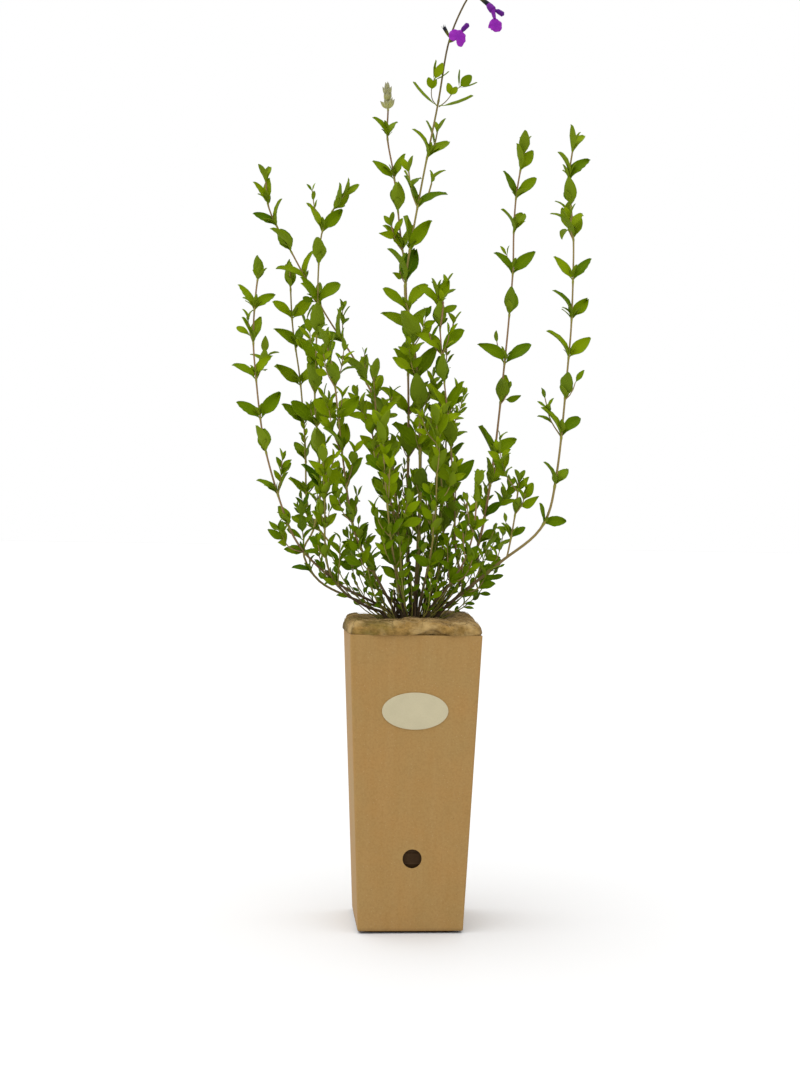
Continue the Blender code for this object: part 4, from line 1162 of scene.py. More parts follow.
def leaf_points(leaf, extra=0.0):
    """The upper and lower points of a leaf, made larger all round by some extra."""
    along = leaf["along"]
    up = leaf["up"]
    across = up.cross(along)
    length = leaf["length"] + extra
    width = leaf["length"] * LEAF_WIDTH_SHARE
    half = LEAF_THICKNESS / 2 + extra

    def spot(share, side):
        out = side * width + math.copysign(extra, side) * (side != 0)
        lift = length * (4 * LEAF_ARCH * share * (1 - share) - LEAF_CURL * share ** 2)
        return leaf["root"] + along * (share * length) + across * out + up * lift

    ring = [spot(0.0, 0.0)]
    ring += [spot(share, -side) for share, side in leaf["outline"]]
    ring += [spot(1.0, 0.0)]
    ring += [spot(share, side) for share, side in reversed(leaf["outline"])]
    return [place + up * half for place in ring] + [place - up * half for place in ring]


def leaf_faces(leaf):
    """The faces of a leaf: bands of triangles across it, alike above and below, and its edge."""
    steps = len(leaf["outline"])
    rim = 2 * steps + 2
    upper = [(0, 1, rim - 1)]
    for i in range(1, steps):
        upper.append((i, i + 1, rim - i))
        upper.append((i + 1, rim - i - 1, rim - i))
    upper.append((steps, steps + 1, steps + 2))
    faces = upper + [(a + rim, c + rim, b + rim) for a, b, c in upper]
    for i in range(rim):
        j = (i + 1) % rim
        faces.append((i, i + rim, j + rim, j))
    return faces


def way_out(direction, azimuth, pitch):
    """The way that something grows out of a stem, and the way that its upper side faces."""
    reference = Vector((1.0, 0.0, 0.0)) - direction * direction.x
    reference.normalize()
    radial = reference * math.cos(azimuth) + direction.cross(reference) * math.sin(azimuth)
    along = (direction * math.cos(pitch) + radial * math.sin(pitch)).normalized()
    up = (direction * math.sin(pitch) - radial * math.cos(pitch)).normalized()
    return along, up


def leaf_at(place, direction, azimuth, pitch, twist, length, outline, node):
    """One leaf, growing from a place on a stem. A leaf at the side twists its upper face to the front."""
    along, up = way_out(direction, azimuth, pitch)
    across = up.cross(along)
    turn = twist * min(1.0, 1.3 * abs(along.x)) * (1.0 - 1.2 * along.y) * (-1 if across.y > 0 else 1)
    up = (up * math.cos(turn) + across * math.sin(turn)).normalized()
    return {
        "place": place, "direction": direction, "azimuth": azimuth, "pitch": pitch, "twist": twist,
        "length": length, "outline": outline, "node": node, "root": place + along * LEAF_ROOT,
        "along": along, "up": up,
    }


def plan_stem(name, stem, draw, trunks, shoots):
    """The tubes of a stem and its side shoots, and the leaves that they carry."""
    leaves = []
    tubes = []
    others = [tree for other, tree in shoots if other != name]
    for part_name, part in stem_parts(name, stem):
        first = len(leaves)
        tubes.append((trunks[part_name], part["thick"]))
        plan_pairs(part_name, part, draw, trunks[part_name], leaves)
        for number, side, reach, pair_count in part.get("shoots", ()):
            below = leaves[first + 2 * number]
            made = shoot_with_room(below, side, reach, others)
            if made:
                tubes.append((made, SHOOT_THICK))
                shoots.append((name, tube_tree(made, SHOOT_THICK)))
                plan_shoot_leaves(f"{part_name}_shoot_{number}_{side}", made, pair_count,
                                  below["length"] * 0.72, draw, leaves)
    return tubes, leaves


def stem_parts(name, stem):
    """The main stem and, where it forks, its branch."""
    parts = [(name, stem)]
    if "branch" in stem:
        parts.append((name + "_branch", stem["branch"]))
    return parts


def rooted(path):
    """A stem's path with its straight foot in the root ball."""
    return [Vector((path[0].x, path[0].y, SOIL_TOP - STEM_SOCKET + 0.5))] + path


def plan_pairs(name, part, draw, path, leaves):
    """Sets the leaf pairs of one stem, turned as the photo shows or a quarter from the next, and its tip."""
    heights = part["pairs"]
    low, high = part["leaves"]
    for number, z in enumerate(heights):
        place, direction = at_height(path, z)
        from_top = len(heights) - 1 - number
        turn = part["turns"][number] if "turns" in part else part["turn"] + 90 * (from_top % 2)
        turn = math.radians(turn + draw.uniform(-8, 8))
        length = low + (high - low) * (number / max(len(heights) - 1, 1)) ** 1.6
        length *= FOOT_LEAF_SHARE + (1 - FOOT_LEAF_SHARE) * ramp(z, FOOT_LEAF_Z, FULL_LEAF_Z)
        outline = TOOTHED if length >= TOOTHED_LENGTH else PLAIN if length >= SLIM_LENGTH else SLIM
        drawn_in = TIP_PITCH_LESS if from_top == 0 and not part.get("bare_tip") else 0
        drawn_in += FACING_PITCH_LESS * abs(math.sin(turn))
        for side in (0, 1):
            pitch = math.radians(draw.uniform(*LEAF_PITCH) - drawn_in)
            twist = math.radians(draw.uniform(*LEAF_TWIST))
            size = length * draw.uniform(0.9, 1.12)
            leaves.append(leaf_at(place, direction, turn + math.pi * side, pitch, twist, size, outline,
                                  (name, number)))
    if not part.get("bare_tip"):
        plan_tip(name, part, draw, path, leaves)


def plan_tip(name, part, draw, path, leaves):
    """The bunch of small upright leaves at a stem's tip: two pairs, turned a quarter from each other."""
    tip = path[-1]
    direction = (path[-1] - path[-2]).normalized()
    for back, share, pitch, turn in TIP_PAIRS:
        for side in (0, 1):
            azimuth = math.radians(part["turn"] + turn + 180 * side)
            size = part["leaves"][1] * share * draw.uniform(0.9, 1.1)
            leaves.append(leaf_at(tip - direction * back, direction, azimuth, math.radians(pitch),
                                  math.radians(TIP_TWIST), size, SLIM, (name, "tip")))


def shoot_with_room(leaf, side, reach, others):
    """The line of a short side shoot above a leaf, turned until it clears the other solids' stems."""
    for change in (0, 30, -30, 60, -60, 90):
        azimuth = leaf["azimuth"] + math.radians(20 + change) + (0.0 if side > 0 else math.pi)
        start, _ = way_out(leaf["direction"], azimuth, math.radians(34))
        end = leaf["place"] + start * reach * 0.75 + Vector((0.0, 0.0, reach * 0.35))
        path = thinned(smooth_path((leaf["place"], leaf["place"] + start * reach * 0.5, end)))
        tree = tube_tree(path, SHOOT_THICK)
        if not any(tree.overlap(other) for other in others):
            return path
    return None


def plan_shoot_leaves(name, path, pair_count, length, draw, leaves):
    """The leaf pairs of a side shoot, and the pair at its tip."""
    for pair in range(pair_count + 1):
        at_tip = pair == pair_count
        share = 0.95 if at_tip else (pair + 1) / (pair_count + 1)
        place, direction = at_height(path, path[0].z + (path[-1].z - path[0].z) * share)
        size = length * (0.72 if at_tip else 1.0)
        pitch = math.radians(26 if at_tip else 50)
        for side in (0, 1):
            azimuth = math.radians(40 + 90 * pair + 180 * side)
            twist = math.radians(draw.uniform(*LEAF_TWIST))
            leaves.append(leaf_at(place, direction, azimuth, pitch, twist, size * draw.uniform(0.9, 1.1),
                                  SLIM, (name, pair)))


def trees_but(name, tubes, obstacles):
    """The search trees of all stems but one, and of what else is in the way."""
    return [tree for other, trees in tubes.items() if other != name for tree in trees] + obstacles


def keep_leaf(leaf, placed, kept):
    """Keeps a leaf, and notes it so that later ones stay clear of it."""
    placed.append((leaf_middle(leaf), leaf, tree_of(leaf_points(leaf), leaf_faces(leaf))))
    kept.append(leaf)


def settled_leaves(plans, obstacles):
    """Moves each leaf clear of everything else. A leaf with no room is left out."""
    changes = [(0, 0, 1.0)]
    for shorter in (1.0, 0.85, 0.7):
        for azimuth in (0, 16, -16, 32, -32, 48, -48):
            for pitch in (0, 12, -12, -24):
                changes.append((azimuth, pitch, shorter))
    tubes = {name: [tube_tree(path, thick) for path, thick in plan[0]] for name, plan in plans.items()}
    placed = []
    kept = {name: [] for name in plans}
    for name, (_, leaves) in plans.items():
        others = trees_but(name, tubes, obstacles)
        for leaf in leaves:
            for azimuth, pitch, shorter in changes:
                trial = leaf_at(leaf["place"], leaf["direction"], leaf["azimuth"] + math.radians(azimuth),
                                leaf["pitch"] + math.radians(pitch), leaf["twist"], leaf["length"] * shorter,
                                leaf["outline"], leaf["node"])
                if has_room(trial, others, placed):
                    keep_leaf(trial, placed, kept[name])
                    break
    return kept, tubes, placed


def leaf_middle(leaf):
    """The place half-way along a leaf."""
    return leaf["root"] + leaf["along"] * leaf["length"] / 2


def has_room(leaf, others, placed):
    """Whether a leaf clears the other solids' stems and all the leaves placed so far."""
    tree = tree_of(leaf_points(leaf, LEAF_CLEARANCE), leaf_faces(leaf))
    if any(tree.overlap(other) for other in others):
        return False
    middle = leaf_middle(leaf)
    for other_middle, other, other_tree in placed:
        if other["node"] == leaf["node"]:
            continue
        if (other_middle - middle).length > (other["length"] + leaf["length"]) / 2 + 3:
            continue
        if tree.overlap(other_tree):
            return False
    return True


def plan_bush():
    """Every stem's tubes and leaves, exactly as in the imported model."""
    draw = random.Random(LEAF_SEED)
    trunks = {}
    shoots = []
    for name, stem in STEMS.items():
        for part_name, part in stem_parts(name, stem):
            path = thinned(smooth_path(part["route"]))
            trunks[part_name] = rooted(path) if part is stem else path
            shoots.append((name, tube_tree(trunks[part_name], part["thick"])))
    plans = {name: plan_stem(name, stem, draw, trunks, shoots) for name, stem in STEMS.items()}
    obstacles = [solid_tree(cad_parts[name]) for name in ("mat", "bud_spike", *FLOWERS)]
    leaves, tubes, placed = settled_leaves(plans, obstacles)
    return plans, leaves, tubes, placed, obstacles


def on_pair(leaf):
    """Whether a leaf belongs to a pair of a main stem, and not to a tip, a side shoot or a twig."""
    return len(leaf["node"]) == 2 and leaf["node"][1] != "tip" and "_shoot_" not in leaf["node"][0]


def in_box(leaf):
    """Whether a leaf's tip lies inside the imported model's box."""
    tip = (leaf["root"] + leaf["along"] * leaf["length"]) * MM
    return all(low < value < high for low, value, high in zip(CAD_BOX[0], tip, CAD_BOX[1]))


def crowding(place):
    """How crowded the bush is at a place: most in its middle and low down, least at its tips."""
    aside = max(0.0, 1.0 - abs(place.x + 12) / 105)
    return 0.12 + 0.88 * aside ** 0.4 * ramp(place.z, 480, 370)


def axil_twigs(kept, tubes, placed, obstacles, draw):
    """Grows thin leafy twigs from the leaf axils where they have room, most in the middle of the bush."""
    twigs = {name: [] for name in kept}
    added_leaves = {name: [] for name in kept}
    front = CAD_BOX[0][1] + TWIG_MARGIN * MM
    back = CAD_BOX[1][1] - TWIG_MARGIN * MM
    for name, leaves in kept.items():
        others = trees_but(name, tubes, obstacles)
        for leaf in leaves:
            if not on_pair(leaf) or draw.random() > crowding(leaf["place"]):
                continue
            for _ in range(TWIG_TRIES):
                line = twig_line(leaf, draw)
                tree = tube_tree(line, TWIG_THICK)
                if not front < line[-1].y * MM < back:
                    continue
                if any(tree.overlap(other) for other in others) or meets_leaf(tree, line, leaf, placed):
                    continue
                tubes[name].append(tree)
                twigs[name].append((line, TWIG_THICK))
                node = (name, "twig", len(twigs[name]))
                added_leaves[name] += twig_leaves(line, node, others, placed, draw)
                break
    return twigs, added_leaves


def twig_line(leaf, draw):
    """The line of one twig, which leaves the axil of a leaf and turns upwards."""
    reach = draw.uniform(*TWIG_REACH)
    azimuth = leaf["azimuth"] + math.radians(draw.uniform(-TWIG_TURN, TWIG_TURN))
    start, _ = way_out(leaf["direction"], azimuth, math.radians(draw.uniform(*TWIG_PITCH)))
    middle = leaf["place"] + start * reach * 0.5
    end = leaf["place"] + start * reach * 0.75 + Vector((0.0, 0.0, reach * 0.3))
    return smooth_path((leaf["place"], middle, end))


def meets_leaf(tree, line, leaf, placed):
    """Whether a twig runs through a leaf of another joint."""
    middle = (line[0] + line[-1]) / 2
    half = (line[-1] - line[0]).length / 2
    for other_middle, other, other_tree in placed:
        if other["node"] != leaf["node"] and (other_middle - middle).length < half + other["length"] / 2 + 2:
            if tree.overlap(other_tree):
                return True
    return False


def twig_leaves(line, node, others, placed, draw):
    """The leaf pairs of one twig, smaller towards its tip."""
    found = []
    rise = line[-1].z - line[0].z
    pairs = max(2, round((line[-1] - line[0]).length / TWIG_STEP))
    base = draw.uniform(*TWIG_LEAF)
    turn = draw.uniform(0, 180)
    for pair in range(pairs):
        share = 0.98 if pair == pairs - 1 else 0.35 + 0.6 * pair / (pairs - 1)
        place, direction = at_height(line, line[0].z + rise * share)
        for side in (0, 1):
            azimuth = math.radians(turn + 90 * pair + 180 * side + draw.uniform(-15, 15))
            pitch = math.radians(draw.uniform(*TWIG_LEAF_PITCH) * (0.55 if share > 0.9 else 1.0))
            size = base * (1.0 - 0.35 * share) * draw.uniform(0.85, 1.15)
            twist = math.radians(draw.uniform(*LEAF_TWIST))
            trial = leaf_at(place, direction, azimuth, pitch, twist, size, SLIM, (*node, pair))
            if in_box(trial) and has_room(trial, others, placed):
                keep_leaf(trial, placed, found)
    return found


def axil_leaves(kept, tubes, placed, obstacles, draw):
    """Adds the small leaves that crowd every leaf axil, where they have room."""
    added_leaves = {name: [] for name in kept}
    for name, leaves in kept.items():
        others = trees_but(name, tubes, obstacles)
        for leaf in leaves:
            if not on_pair(leaf):
                continue
            for _ in range(AXIL_LEAVES):
                azimuth = leaf["azimuth"] + math.radians(draw.uniform(-AXIL_TURN, AXIL_TURN))
                pitch = math.radians(draw.uniform(*AXIL_PITCH))
                size = draw.uniform(*AXIL_LENGTH)
                twist = math.radians(draw.uniform(*AXIL_TWIST))
                place = leaf["place"] + leaf["direction"] * draw.uniform(0.3, 2.4)
                small = leaf_at(place, leaf["direction"], azimuth, pitch, twist, size, SLIM, leaf["node"])
                if in_box(small) and has_room(small, others, placed):
                    keep_leaf(small, placed, added_leaves[name])
    return added_leaves


def foot_line(reach, lean, angle, draw):
    """A line that starts in the crown, leans outwards and turns upwards."""
    inner = draw.uniform(0.1, 0.75)
    start = Vector((math.cos(angle) * CROWN_HALF_X * inner, math.sin(angle) * CROWN_HALF_Y * inner,
                    SOIL_TOP + 2))
    out = Vector((math.cos(angle) * math.sin(lean), math.sin(angle) * math.sin(lean) * 0.55, math.cos(lean)))
    middle = start + out * reach * 0.55 + Vector((0.0, 0.0, 4.0))
    end = start + out * reach * 0.9 + Vector((draw.uniform(-6, 6), draw.uniform(-5, 5), reach * 0.3))
    return smooth_path((start, start + Vector((0.0, 0.0, 7.0)), middle, end))


def foot_growth(tubes, placed, obstacles, draw):
    """Thin leafy shoots that rise from the crown between the stems, and the leaves with room on them."""
    stems = trees_but(None, tubes, obstacles)
    lines = []
    leaves = []
    for number in range(FOOT_SHOOTS):
        reach = draw.uniform(*FOOT_REACH)
        line = foot_line(reach, math.radians(draw.uniform(*FOOT_LEAN)), draw.uniform(0, math.tau), draw)
        lines.append((line, FOOT_THICK))
        steps = int(reach / FOOT_LEAF_STEP)
        for pair in range(2, steps + 1):
            place, direction = at_height(line, line[0].z + (line[-1].z - line[0].z) * 0.99 * pair / steps)
            if place.z < MAT_TOP + 5:
                continue
            low = ramp(place.z, MAT_TOP, MAT_TOP + 45)
            base = draw.uniform(*FOOT_LEAF) * (0.75 if pair == steps else 1.0) * (0.6 + 0.4 * low)
            for side in (0, 1):
                azimuth = math.radians(90 * pair + 180 * side + draw.uniform(-20, 20))
                pitch = math.radians(draw.uniform(*FOOT_LEAF_PITCH) * (0.5 if pair == steps else 1.0))
                twist = math.radians(draw.uniform(*LEAF_TWIST))
                trial = leaf_at(place, direction, azimuth, pitch, twist, base * draw.uniform(0.85, 1.15),
                                SLIM, ("foot", number, pair))
                if has_room(trial, stems, placed):
                    keep_leaf(trial, placed, leaves)
    return lines, leaves


def old_stubs(draw):
    """The lines of short dead stubs of old wood that crowd the crown."""
    lines = []
    for _ in range(STUBS):
        reach = draw.uniform(*STUB_REACH)
        line = foot_line(reach, math.radians(draw.uniform(*STUB_LEAN)), draw.uniform(0, math.tau), draw)
        lines.append((line, STUB_THICK))
    return lines


def seen_leaf(root, tip, face, kind):
    """A leaf that lies from one place to another, with its blade facing one way."""
    root = Vector(root)
    along = Vector(tip) - root
    length = along.length
    along.normalize()
    up = Vector(face)
    up = (up - along * up.dot(along)).normalized()
    return {"root": root, "along": along, "up": up, "length": length, "node": ("top", kind)}


def leaf_pattern(name, thickness, surface):
    """One leaf of length 1 along X with its upper side to Z, shaped row by row from a grid."""
    outline, strips, arch, curl, fold, wave, bend, turn = LEAF_PATTERNS[name]
    rows = len(outline) - 1
    middle = strips // 2
    leaf = added(bpy.ops.mesh.primitive_grid_add, name, x_subdivisions=rows, y_subdivisions=strips, size=1,
                 location=(0.5, 0, 0), calc_uvs=True)
    settle(leaf)
    edit(leaf)
    for row, (share, half) in enumerate(outline):
        pick("VERT", lambda point: point.index % (rows + 1) == row)
        lift = 4 * arch * share * (1 - share) - curl * share ** 2
        bpy.ops.transform.resize(value=(1, 2 * half, 1), center_override=(row / rows, 0, 0))
        bpy.ops.transform.translate(value=(share - row / rows, 0, lift))
    for strip in range(strips + 1):
        if strip != middle:
            pick("VERT", lambda point: point.index // (rows + 1) == strip
                 and 1 < point.index % (rows + 1) < rows)
            bpy.ops.transform.translate(value=(0, 0, fold * (abs(strip - middle) / middle) ** 1.5))
    if wave:
        for row in range(2, rows):
            pick("VERT", lambda point: point.index % (rows + 1) == row
                 and point.index // (rows + 1) in (0, strips))
            bpy.ops.transform.translate(value=(0, 0, wave if row % 2 else -wave))
    for row, (share, _) in enumerate(outline):
        pick("VERT", lambda point: point.index % (rows + 1) == row)
        lift = 4 * arch * share * (1 - share) - curl * share ** 2
        bpy.ops.transform.rotate(value=math.radians(turn * share), orient_axis="X",
                                 center_override=(share, 0, lift))
        bpy.ops.transform.translate(value=(0, bend * share ** 2, 0))
    done_editing()
    apply_modifier(leaf, "SOLIDIFY", thickness=thickness, offset=0.0)
    smooth_by_angle(leaf, 50)
    leaf.data.materials.append(surface)
    set_look(leaf.data, [(0.5, 1.0 if point.normal.z < 0 else 0.0, 0.0) for point in leaf.data.vertices])
    return leaf


def leaf_matrix(leaf, grown):
    """Where a pattern goes for one planned leaf, a little larger where it doesn't leave the model's box."""
    across = leaf["up"].cross(leaf["along"])
    larger = dict(leaf, length=leaf["length"] * grown)
    matrix = Matrix((leaf["along"], across, leaf["up"])).transposed().to_4x4()
    matrix = matrix @ Matrix.Scale(larger["length"] if in_box(larger) else leaf["length"], 4)
    matrix.translation = leaf["root"]
    return Matrix.Scale(MM, 4) @ matrix


def leaf_kind(leaf):
    """Which kind of leaf pattern suits a leaf."""
    if leaf["node"][0] == "top":
        return leaf["node"][1]
    if leaf["length"] < TINY_LENGTH:
        return "tiny"
    if leaf["node"][1] == "tip":
        return "tip"
    return "pair" if on_pair(leaf) and leaf["length"] > PAIR_LENGTH else "small"


def grown_leaf(leaf, patterns, draw, top):
    """One leaf of a stem, copied from a pattern, with its own tint, which is darker lower in the bush as
    painted shade.
    """
    kind = leaf_kind(leaf)
    full = ramp(leaf["root"].z, FOOT_LEAF_Z, FULL_LEAF_Z)
    grown = 1.0 if leaf["node"][0] == "top" else 1.0 + (FULL_GROWN - 1.0) * full
    copy = copied(patterns[draw.choice(LEAF_KINDS[kind])], leaf_matrix(leaf, grown))
    height = ramp(leaf["root"].z, 240, top)
    # Painted shade: the tint rises with height, so lower leaves are painted a deeper green; on top of that
    # the tint spreads at random.
    tint = draw.gauss(0.12 + 0.18 * full + 0.45 * height, LEAF_TINT_SPREAD)
    youth = max(0.0, draw.uniform(-0.6, 0.45))
    if kind != "pair":
        youth = draw.uniform(0.0, 0.7) * (0.25 + 0.75 * full)
    change_look(copy.data, {0: ramp(tint, 0.0, 1.0), 2: youth})
    return copy


def rounded_square_profile():
    """The cross-section of a stem: a square with rounded corners and slightly hollow sides."""
    profile = added(bpy.ops.curve.primitive_bezier_circle_add, "stem_profile", radius=1)
    profile.data.splines.clear()
    spline = profile.data.splines.new("POLY")
    spline.points.add(11)
    for i, point in enumerate(spline.points):
        angle = math.tau * i / 12
        reach = (0.96, 0.84, 0.84)[i % 3]
        point.co = (math.cos(angle) * reach, math.sin(angle) * reach, 0, 1)
    spline.use_cyclic_u = True
    return profile


def tube_mesh(name, lines, surface, profile=None, radius=0.0, twist="MINIMUM"):
    """Closed tubes along lines of places with radii, as one mesh, round or with a profile's form."""
    form = added(bpy.ops.curve.primitive_bezier_curve_add, name)
    curve = form.data
    curve.splines.clear()
    curve.dimensions = "3D"
    curve.twist_mode = twist
    curve.use_fill_caps = True
    if profile:
        curve.bevel_mode = "OBJECT"
        curve.bevel_object = profile
    else:
        curve.bevel_depth = radius
        curve.bevel_resolution = 0
    for line in lines:
        spline = curve.splines.new("POLY")
        spline.points.add(len(line) - 1)
        for point, (place, size) in zip(spline.points, line):
            point.co = (*place, 1)
            point.radius = size
    bpy.ops.object.convert(target="MESH")
    form = bpy.context.object
    form.data.materials.clear()
    form.data.materials.append(surface)
    return form


def rod_samples(path, thick, joints, spacing):
    """Places along a path with radius, nearness to a joint and woodiness, closer together at joints."""
    lengths = lengths_along(path)
    whole = lengths[-1]
    joint_spots = [length_at(path, lengths, at_height(path, z)[0]) for z in joints]
    steps = max(2, round(whole / spacing))
    spots = {whole * step / steps for step in range(steps + 1)}
    for spot in joint_spots:
        spots |= {min(whole, max(0.0, spot + shift)) for shift in JOINT_SHIFTS}
    samples = []
    last = -1.0
    for spot in sorted(spots):
        if spot - last < NEAREST_RINGS:
            continue
        last = spot
        place = place_at(path, lengths, spot)
        radius = thick[1] + (thick[0] - thick[1]) * max(0.0, 1 - spot / whole) ** STEM_FALL
        near = max([math.exp(-((spot - joint) / JOINT_HALF) ** 2) for joint in joint_spots] or [0.0])
        woody = ramp(place.z, *BARK_Z) * min(1.0, max(0.15, (thick[0] - 1.0) / 0.5))
        dark_top = DARK_TOP * ramp(place.z, *DARK_TOP_Z)
        samples.append((place, radius * (0.86 + 0.30 * near), near * (1.0 - dark_top), max(woody, dark_top)))
    return samples


def rods(name, sample_lists, profile, surface, tint):
    """One mesh of rounded square rods along several lists of samples, greener with a higher tint."""
    lines = [[(place * MM, radius * MM) for place, radius, _, _ in samples] for samples in sample_lists]
    rod = tube_mesh(name, lines, surface, profile)
    everything = [sample for samples in sample_lists for sample in samples]
    look_by_place(rod.data, [place * MM for place, _, _, _ in everything],
                  [(tint, woody, near) for _, _, near, woody in everything])
    smooth_by_angle(rod, 60)
    return rod


def swept(name, places, radii, count, surface, values, squash=1.0):
    """A closed, smooth form along a line through a few places, with radii eased between them."""
    profile = added(bpy.ops.curve.primitive_bezier_circle_add, "round_profile", radius=1)
    profile.data.resolution_u = 4
    profile.scale = (squash, 1, 1)
    settle(profile)
    path = smooth_path(places)
    lengths = lengths_along(path)
    marks = [length_at(path, lengths, Vector(place)) for place in places]
    line = []
    for step in range(count + 1):
        spot = lengths[-1] * step / count
        j = last_before(marks, spot)
        t = (spot - marks[j]) / max(marks[j + 1] - marks[j], 1e-6)
        t = t * t * (3 - 2 * t)
        line.append((place_at(path, lengths, spot) * MM, (radii[j] + (radii[j + 1] - radii[j]) * t) * MM))
    form = tube_mesh(name, [line], surface, profile, twist="Z_UP")
    remove([profile])
    smooth_by_angle(form, 70)
    set_look(form.data, [values] * len(form.data.vertices))
    return form


def spoke(point, sides):
    """Which spoke of a ring a point lies on."""
    return round(math.atan2(point.co.y, point.co.x) / math.tau * sides)


def calyx_pattern(surface):
    """One calyx of length 1 along Z and mouth radius 1: a ribbed bell with pointed teeth."""
    sides = 16
    stations = ((-0.08, 0.22), (0.04, 0.42), (0.20, 0.66), (0.42, 0.86), (0.66, 0.97), (0.86, 1.02),
                (1.0, 1.06))
    calyx = added(bpy.ops.mesh.primitive_circle_add, "calyx", vertices=sides, radius=stations[0][1],
                  fill_type="NGON", location=(0, 0, stations[0][0]))
    settle(calyx)
    edit(calyx)
    raise_face(stations)
    pick("FACE", lambda face: face.normal.z > 0.9 and face.calc_center_median().z > 0.9)
    bpy.ops.mesh.delete(type="FACE")
    pick("VERT", lambda point: point.co.z > -0.07 and spoke(point, sides) % 2)
    bpy.ops.transform.resize(value=(0.9, 0.9, 1), center_override=(0, 0, 0))
    pick("VERT", lambda point: point.co.z > 0.95 and spoke(point, sides) % 4 == 0)
    bpy.ops.transform.translate(value=(0, 0, 0.30))
    bpy.ops.transform.resize(value=(1.12, 1.12, 1), center_override=(0, 0, 0))
    done_editing()
    apply_modifier(calyx, "SOLIDIFY", thickness=0.07, offset=-1.0)
    smooth_by_angle(calyx, 60)
    calyx.data.materials.append(surface)
    set_look(calyx.data, [(ramp(point.co.z, 0.0, 1.0), 0.0, 0.0) for point in calyx.data.vertices])
    return calyx


def bud_pattern(surface):
    """One bud of length 1 along Z and radius 1: a ribbed drop with a pointed tip."""
    sides = 10
    stations = ((0.0, 0.25), (0.10, 0.62), (0.28, 0.95), (0.48, 1.0), (0.66, 0.78), (0.82, 0.45), (1.0, 0.06))
    bud = added(bpy.ops.mesh.primitive_circle_add, "bud", vertices=sides, radius=stations[0][1],
                fill_type="NGON")
    edit(bud)
    raise_face(stations)
    pick("VERT", lambda point: 0.05 < point.co.z < 0.9 and spoke(point, sides) % 2)
    bpy.ops.transform.resize(value=(0.86, 0.86, 1), center_override=(0, 0, 0))
    face_outwards()
    smooth_by_angle(bud, 70)
    bud.data.materials.append(surface)
    set_look(bud.data, [(point.co.z, 0.0, 0.0) for point in bud.data.vertices])
    return bud


def set_between(pattern, start, end, radius):
    """A copy of a pattern that stands along Z, set between two places in millimetres."""
    start = Vector(start)
    way = Vector(end) - start
    matrix = way.to_track_quat("Z", "Y").to_matrix().to_4x4()
    matrix = matrix @ Matrix.Diagonal((radius, radius, way.length, 1.0))
    matrix.translation = start
    return copied(pattern, Matrix.Scale(MM, 4) @ matrix)


def lip_petal(flower, surface):
    """The lower lip: a bowed, lobed petal with a ruffled edge, shaped from a disc."""
    lip = added(bpy.ops.mesh.primitive_circle_add, "lip", vertices=LIP_SIDES, radius=1, fill_type="NGON")
    edit(lip)
    for step in range(LIP_RINGS - 1):
        share = (LIP_RINGS - step - 1) / (LIP_RINGS - step)
        bpy.ops.mesh.inset(thickness=0)
        bpy.ops.transform.resize(value=(share, share, 1), center_override=(0, 0, 0))
    bpy.ops.mesh.poke()
    done_editing()
    outline = [Vector((x, y, 0)) for x, y in flower["lip_outline"]]
    middle = Vector((*flower["lip_middle"], 0.0))
    around = [place - middle for place in smooth_path([*outline[-2:], *outline, *outline[:2]])]
    angles = [(math.atan2(place.y, place.x), place.length) for place in around]
    right = Vector(flower["lip_right"]).normalized()
    down = Vector(flower["lip_down"])
    down = (down - right * down.dot(right)).normalized()
    front = right.cross(down)
    centre = Vector(flower["lip_centre"])
    size = flower["lip_size"]
    values = []
    for vertex in lip.data.vertices:
        share = vertex.co.length
        angle = math.atan2(vertex.co.y, vertex.co.x)
        reach = reach_at(angles, angle)
        x = middle.x + math.cos(angle) * reach * share
        y = middle.y + math.sin(angle) * reach * share
        bow = 0.02 * (x * x + 0.5 * y * y) + 0.55 * share ** 3 * math.sin(angle * 7 + 0.6)
        vertex.co = (centre + right * (x * size) + down * (y * size) + front * bow) * MM
        values.append((max(0.0, 1.0 - share * 1.15), 0.0, 0.0))
    set_look(lip.data, values)
    apply_modifier(lip, "SOLIDIFY", thickness=LIP_THICKNESS * MM, offset=0.0)
    apply_modifier(lip, "SUBSURF", levels=1, render_levels=1)
    edit(lip)
    face_outwards()
    smooth_by_angle(lip, 80)
    lip.data.materials.append(surface)
    return lip


def reach_at(angles, angle):
    """How far an outline reaches in one direction, between its nearest places."""
    best = sorted(angles, key=lambda each: abs(math.remainder(each[0] - angle, math.tau)))[:2]
    gaps = [abs(math.remainder(each[0] - angle, math.tau)) for each in best]
    whole = max(sum(gaps), 1e-6)
    return best[0][1] * gaps[1] / whole + best[1][1] * gaps[0] / whole


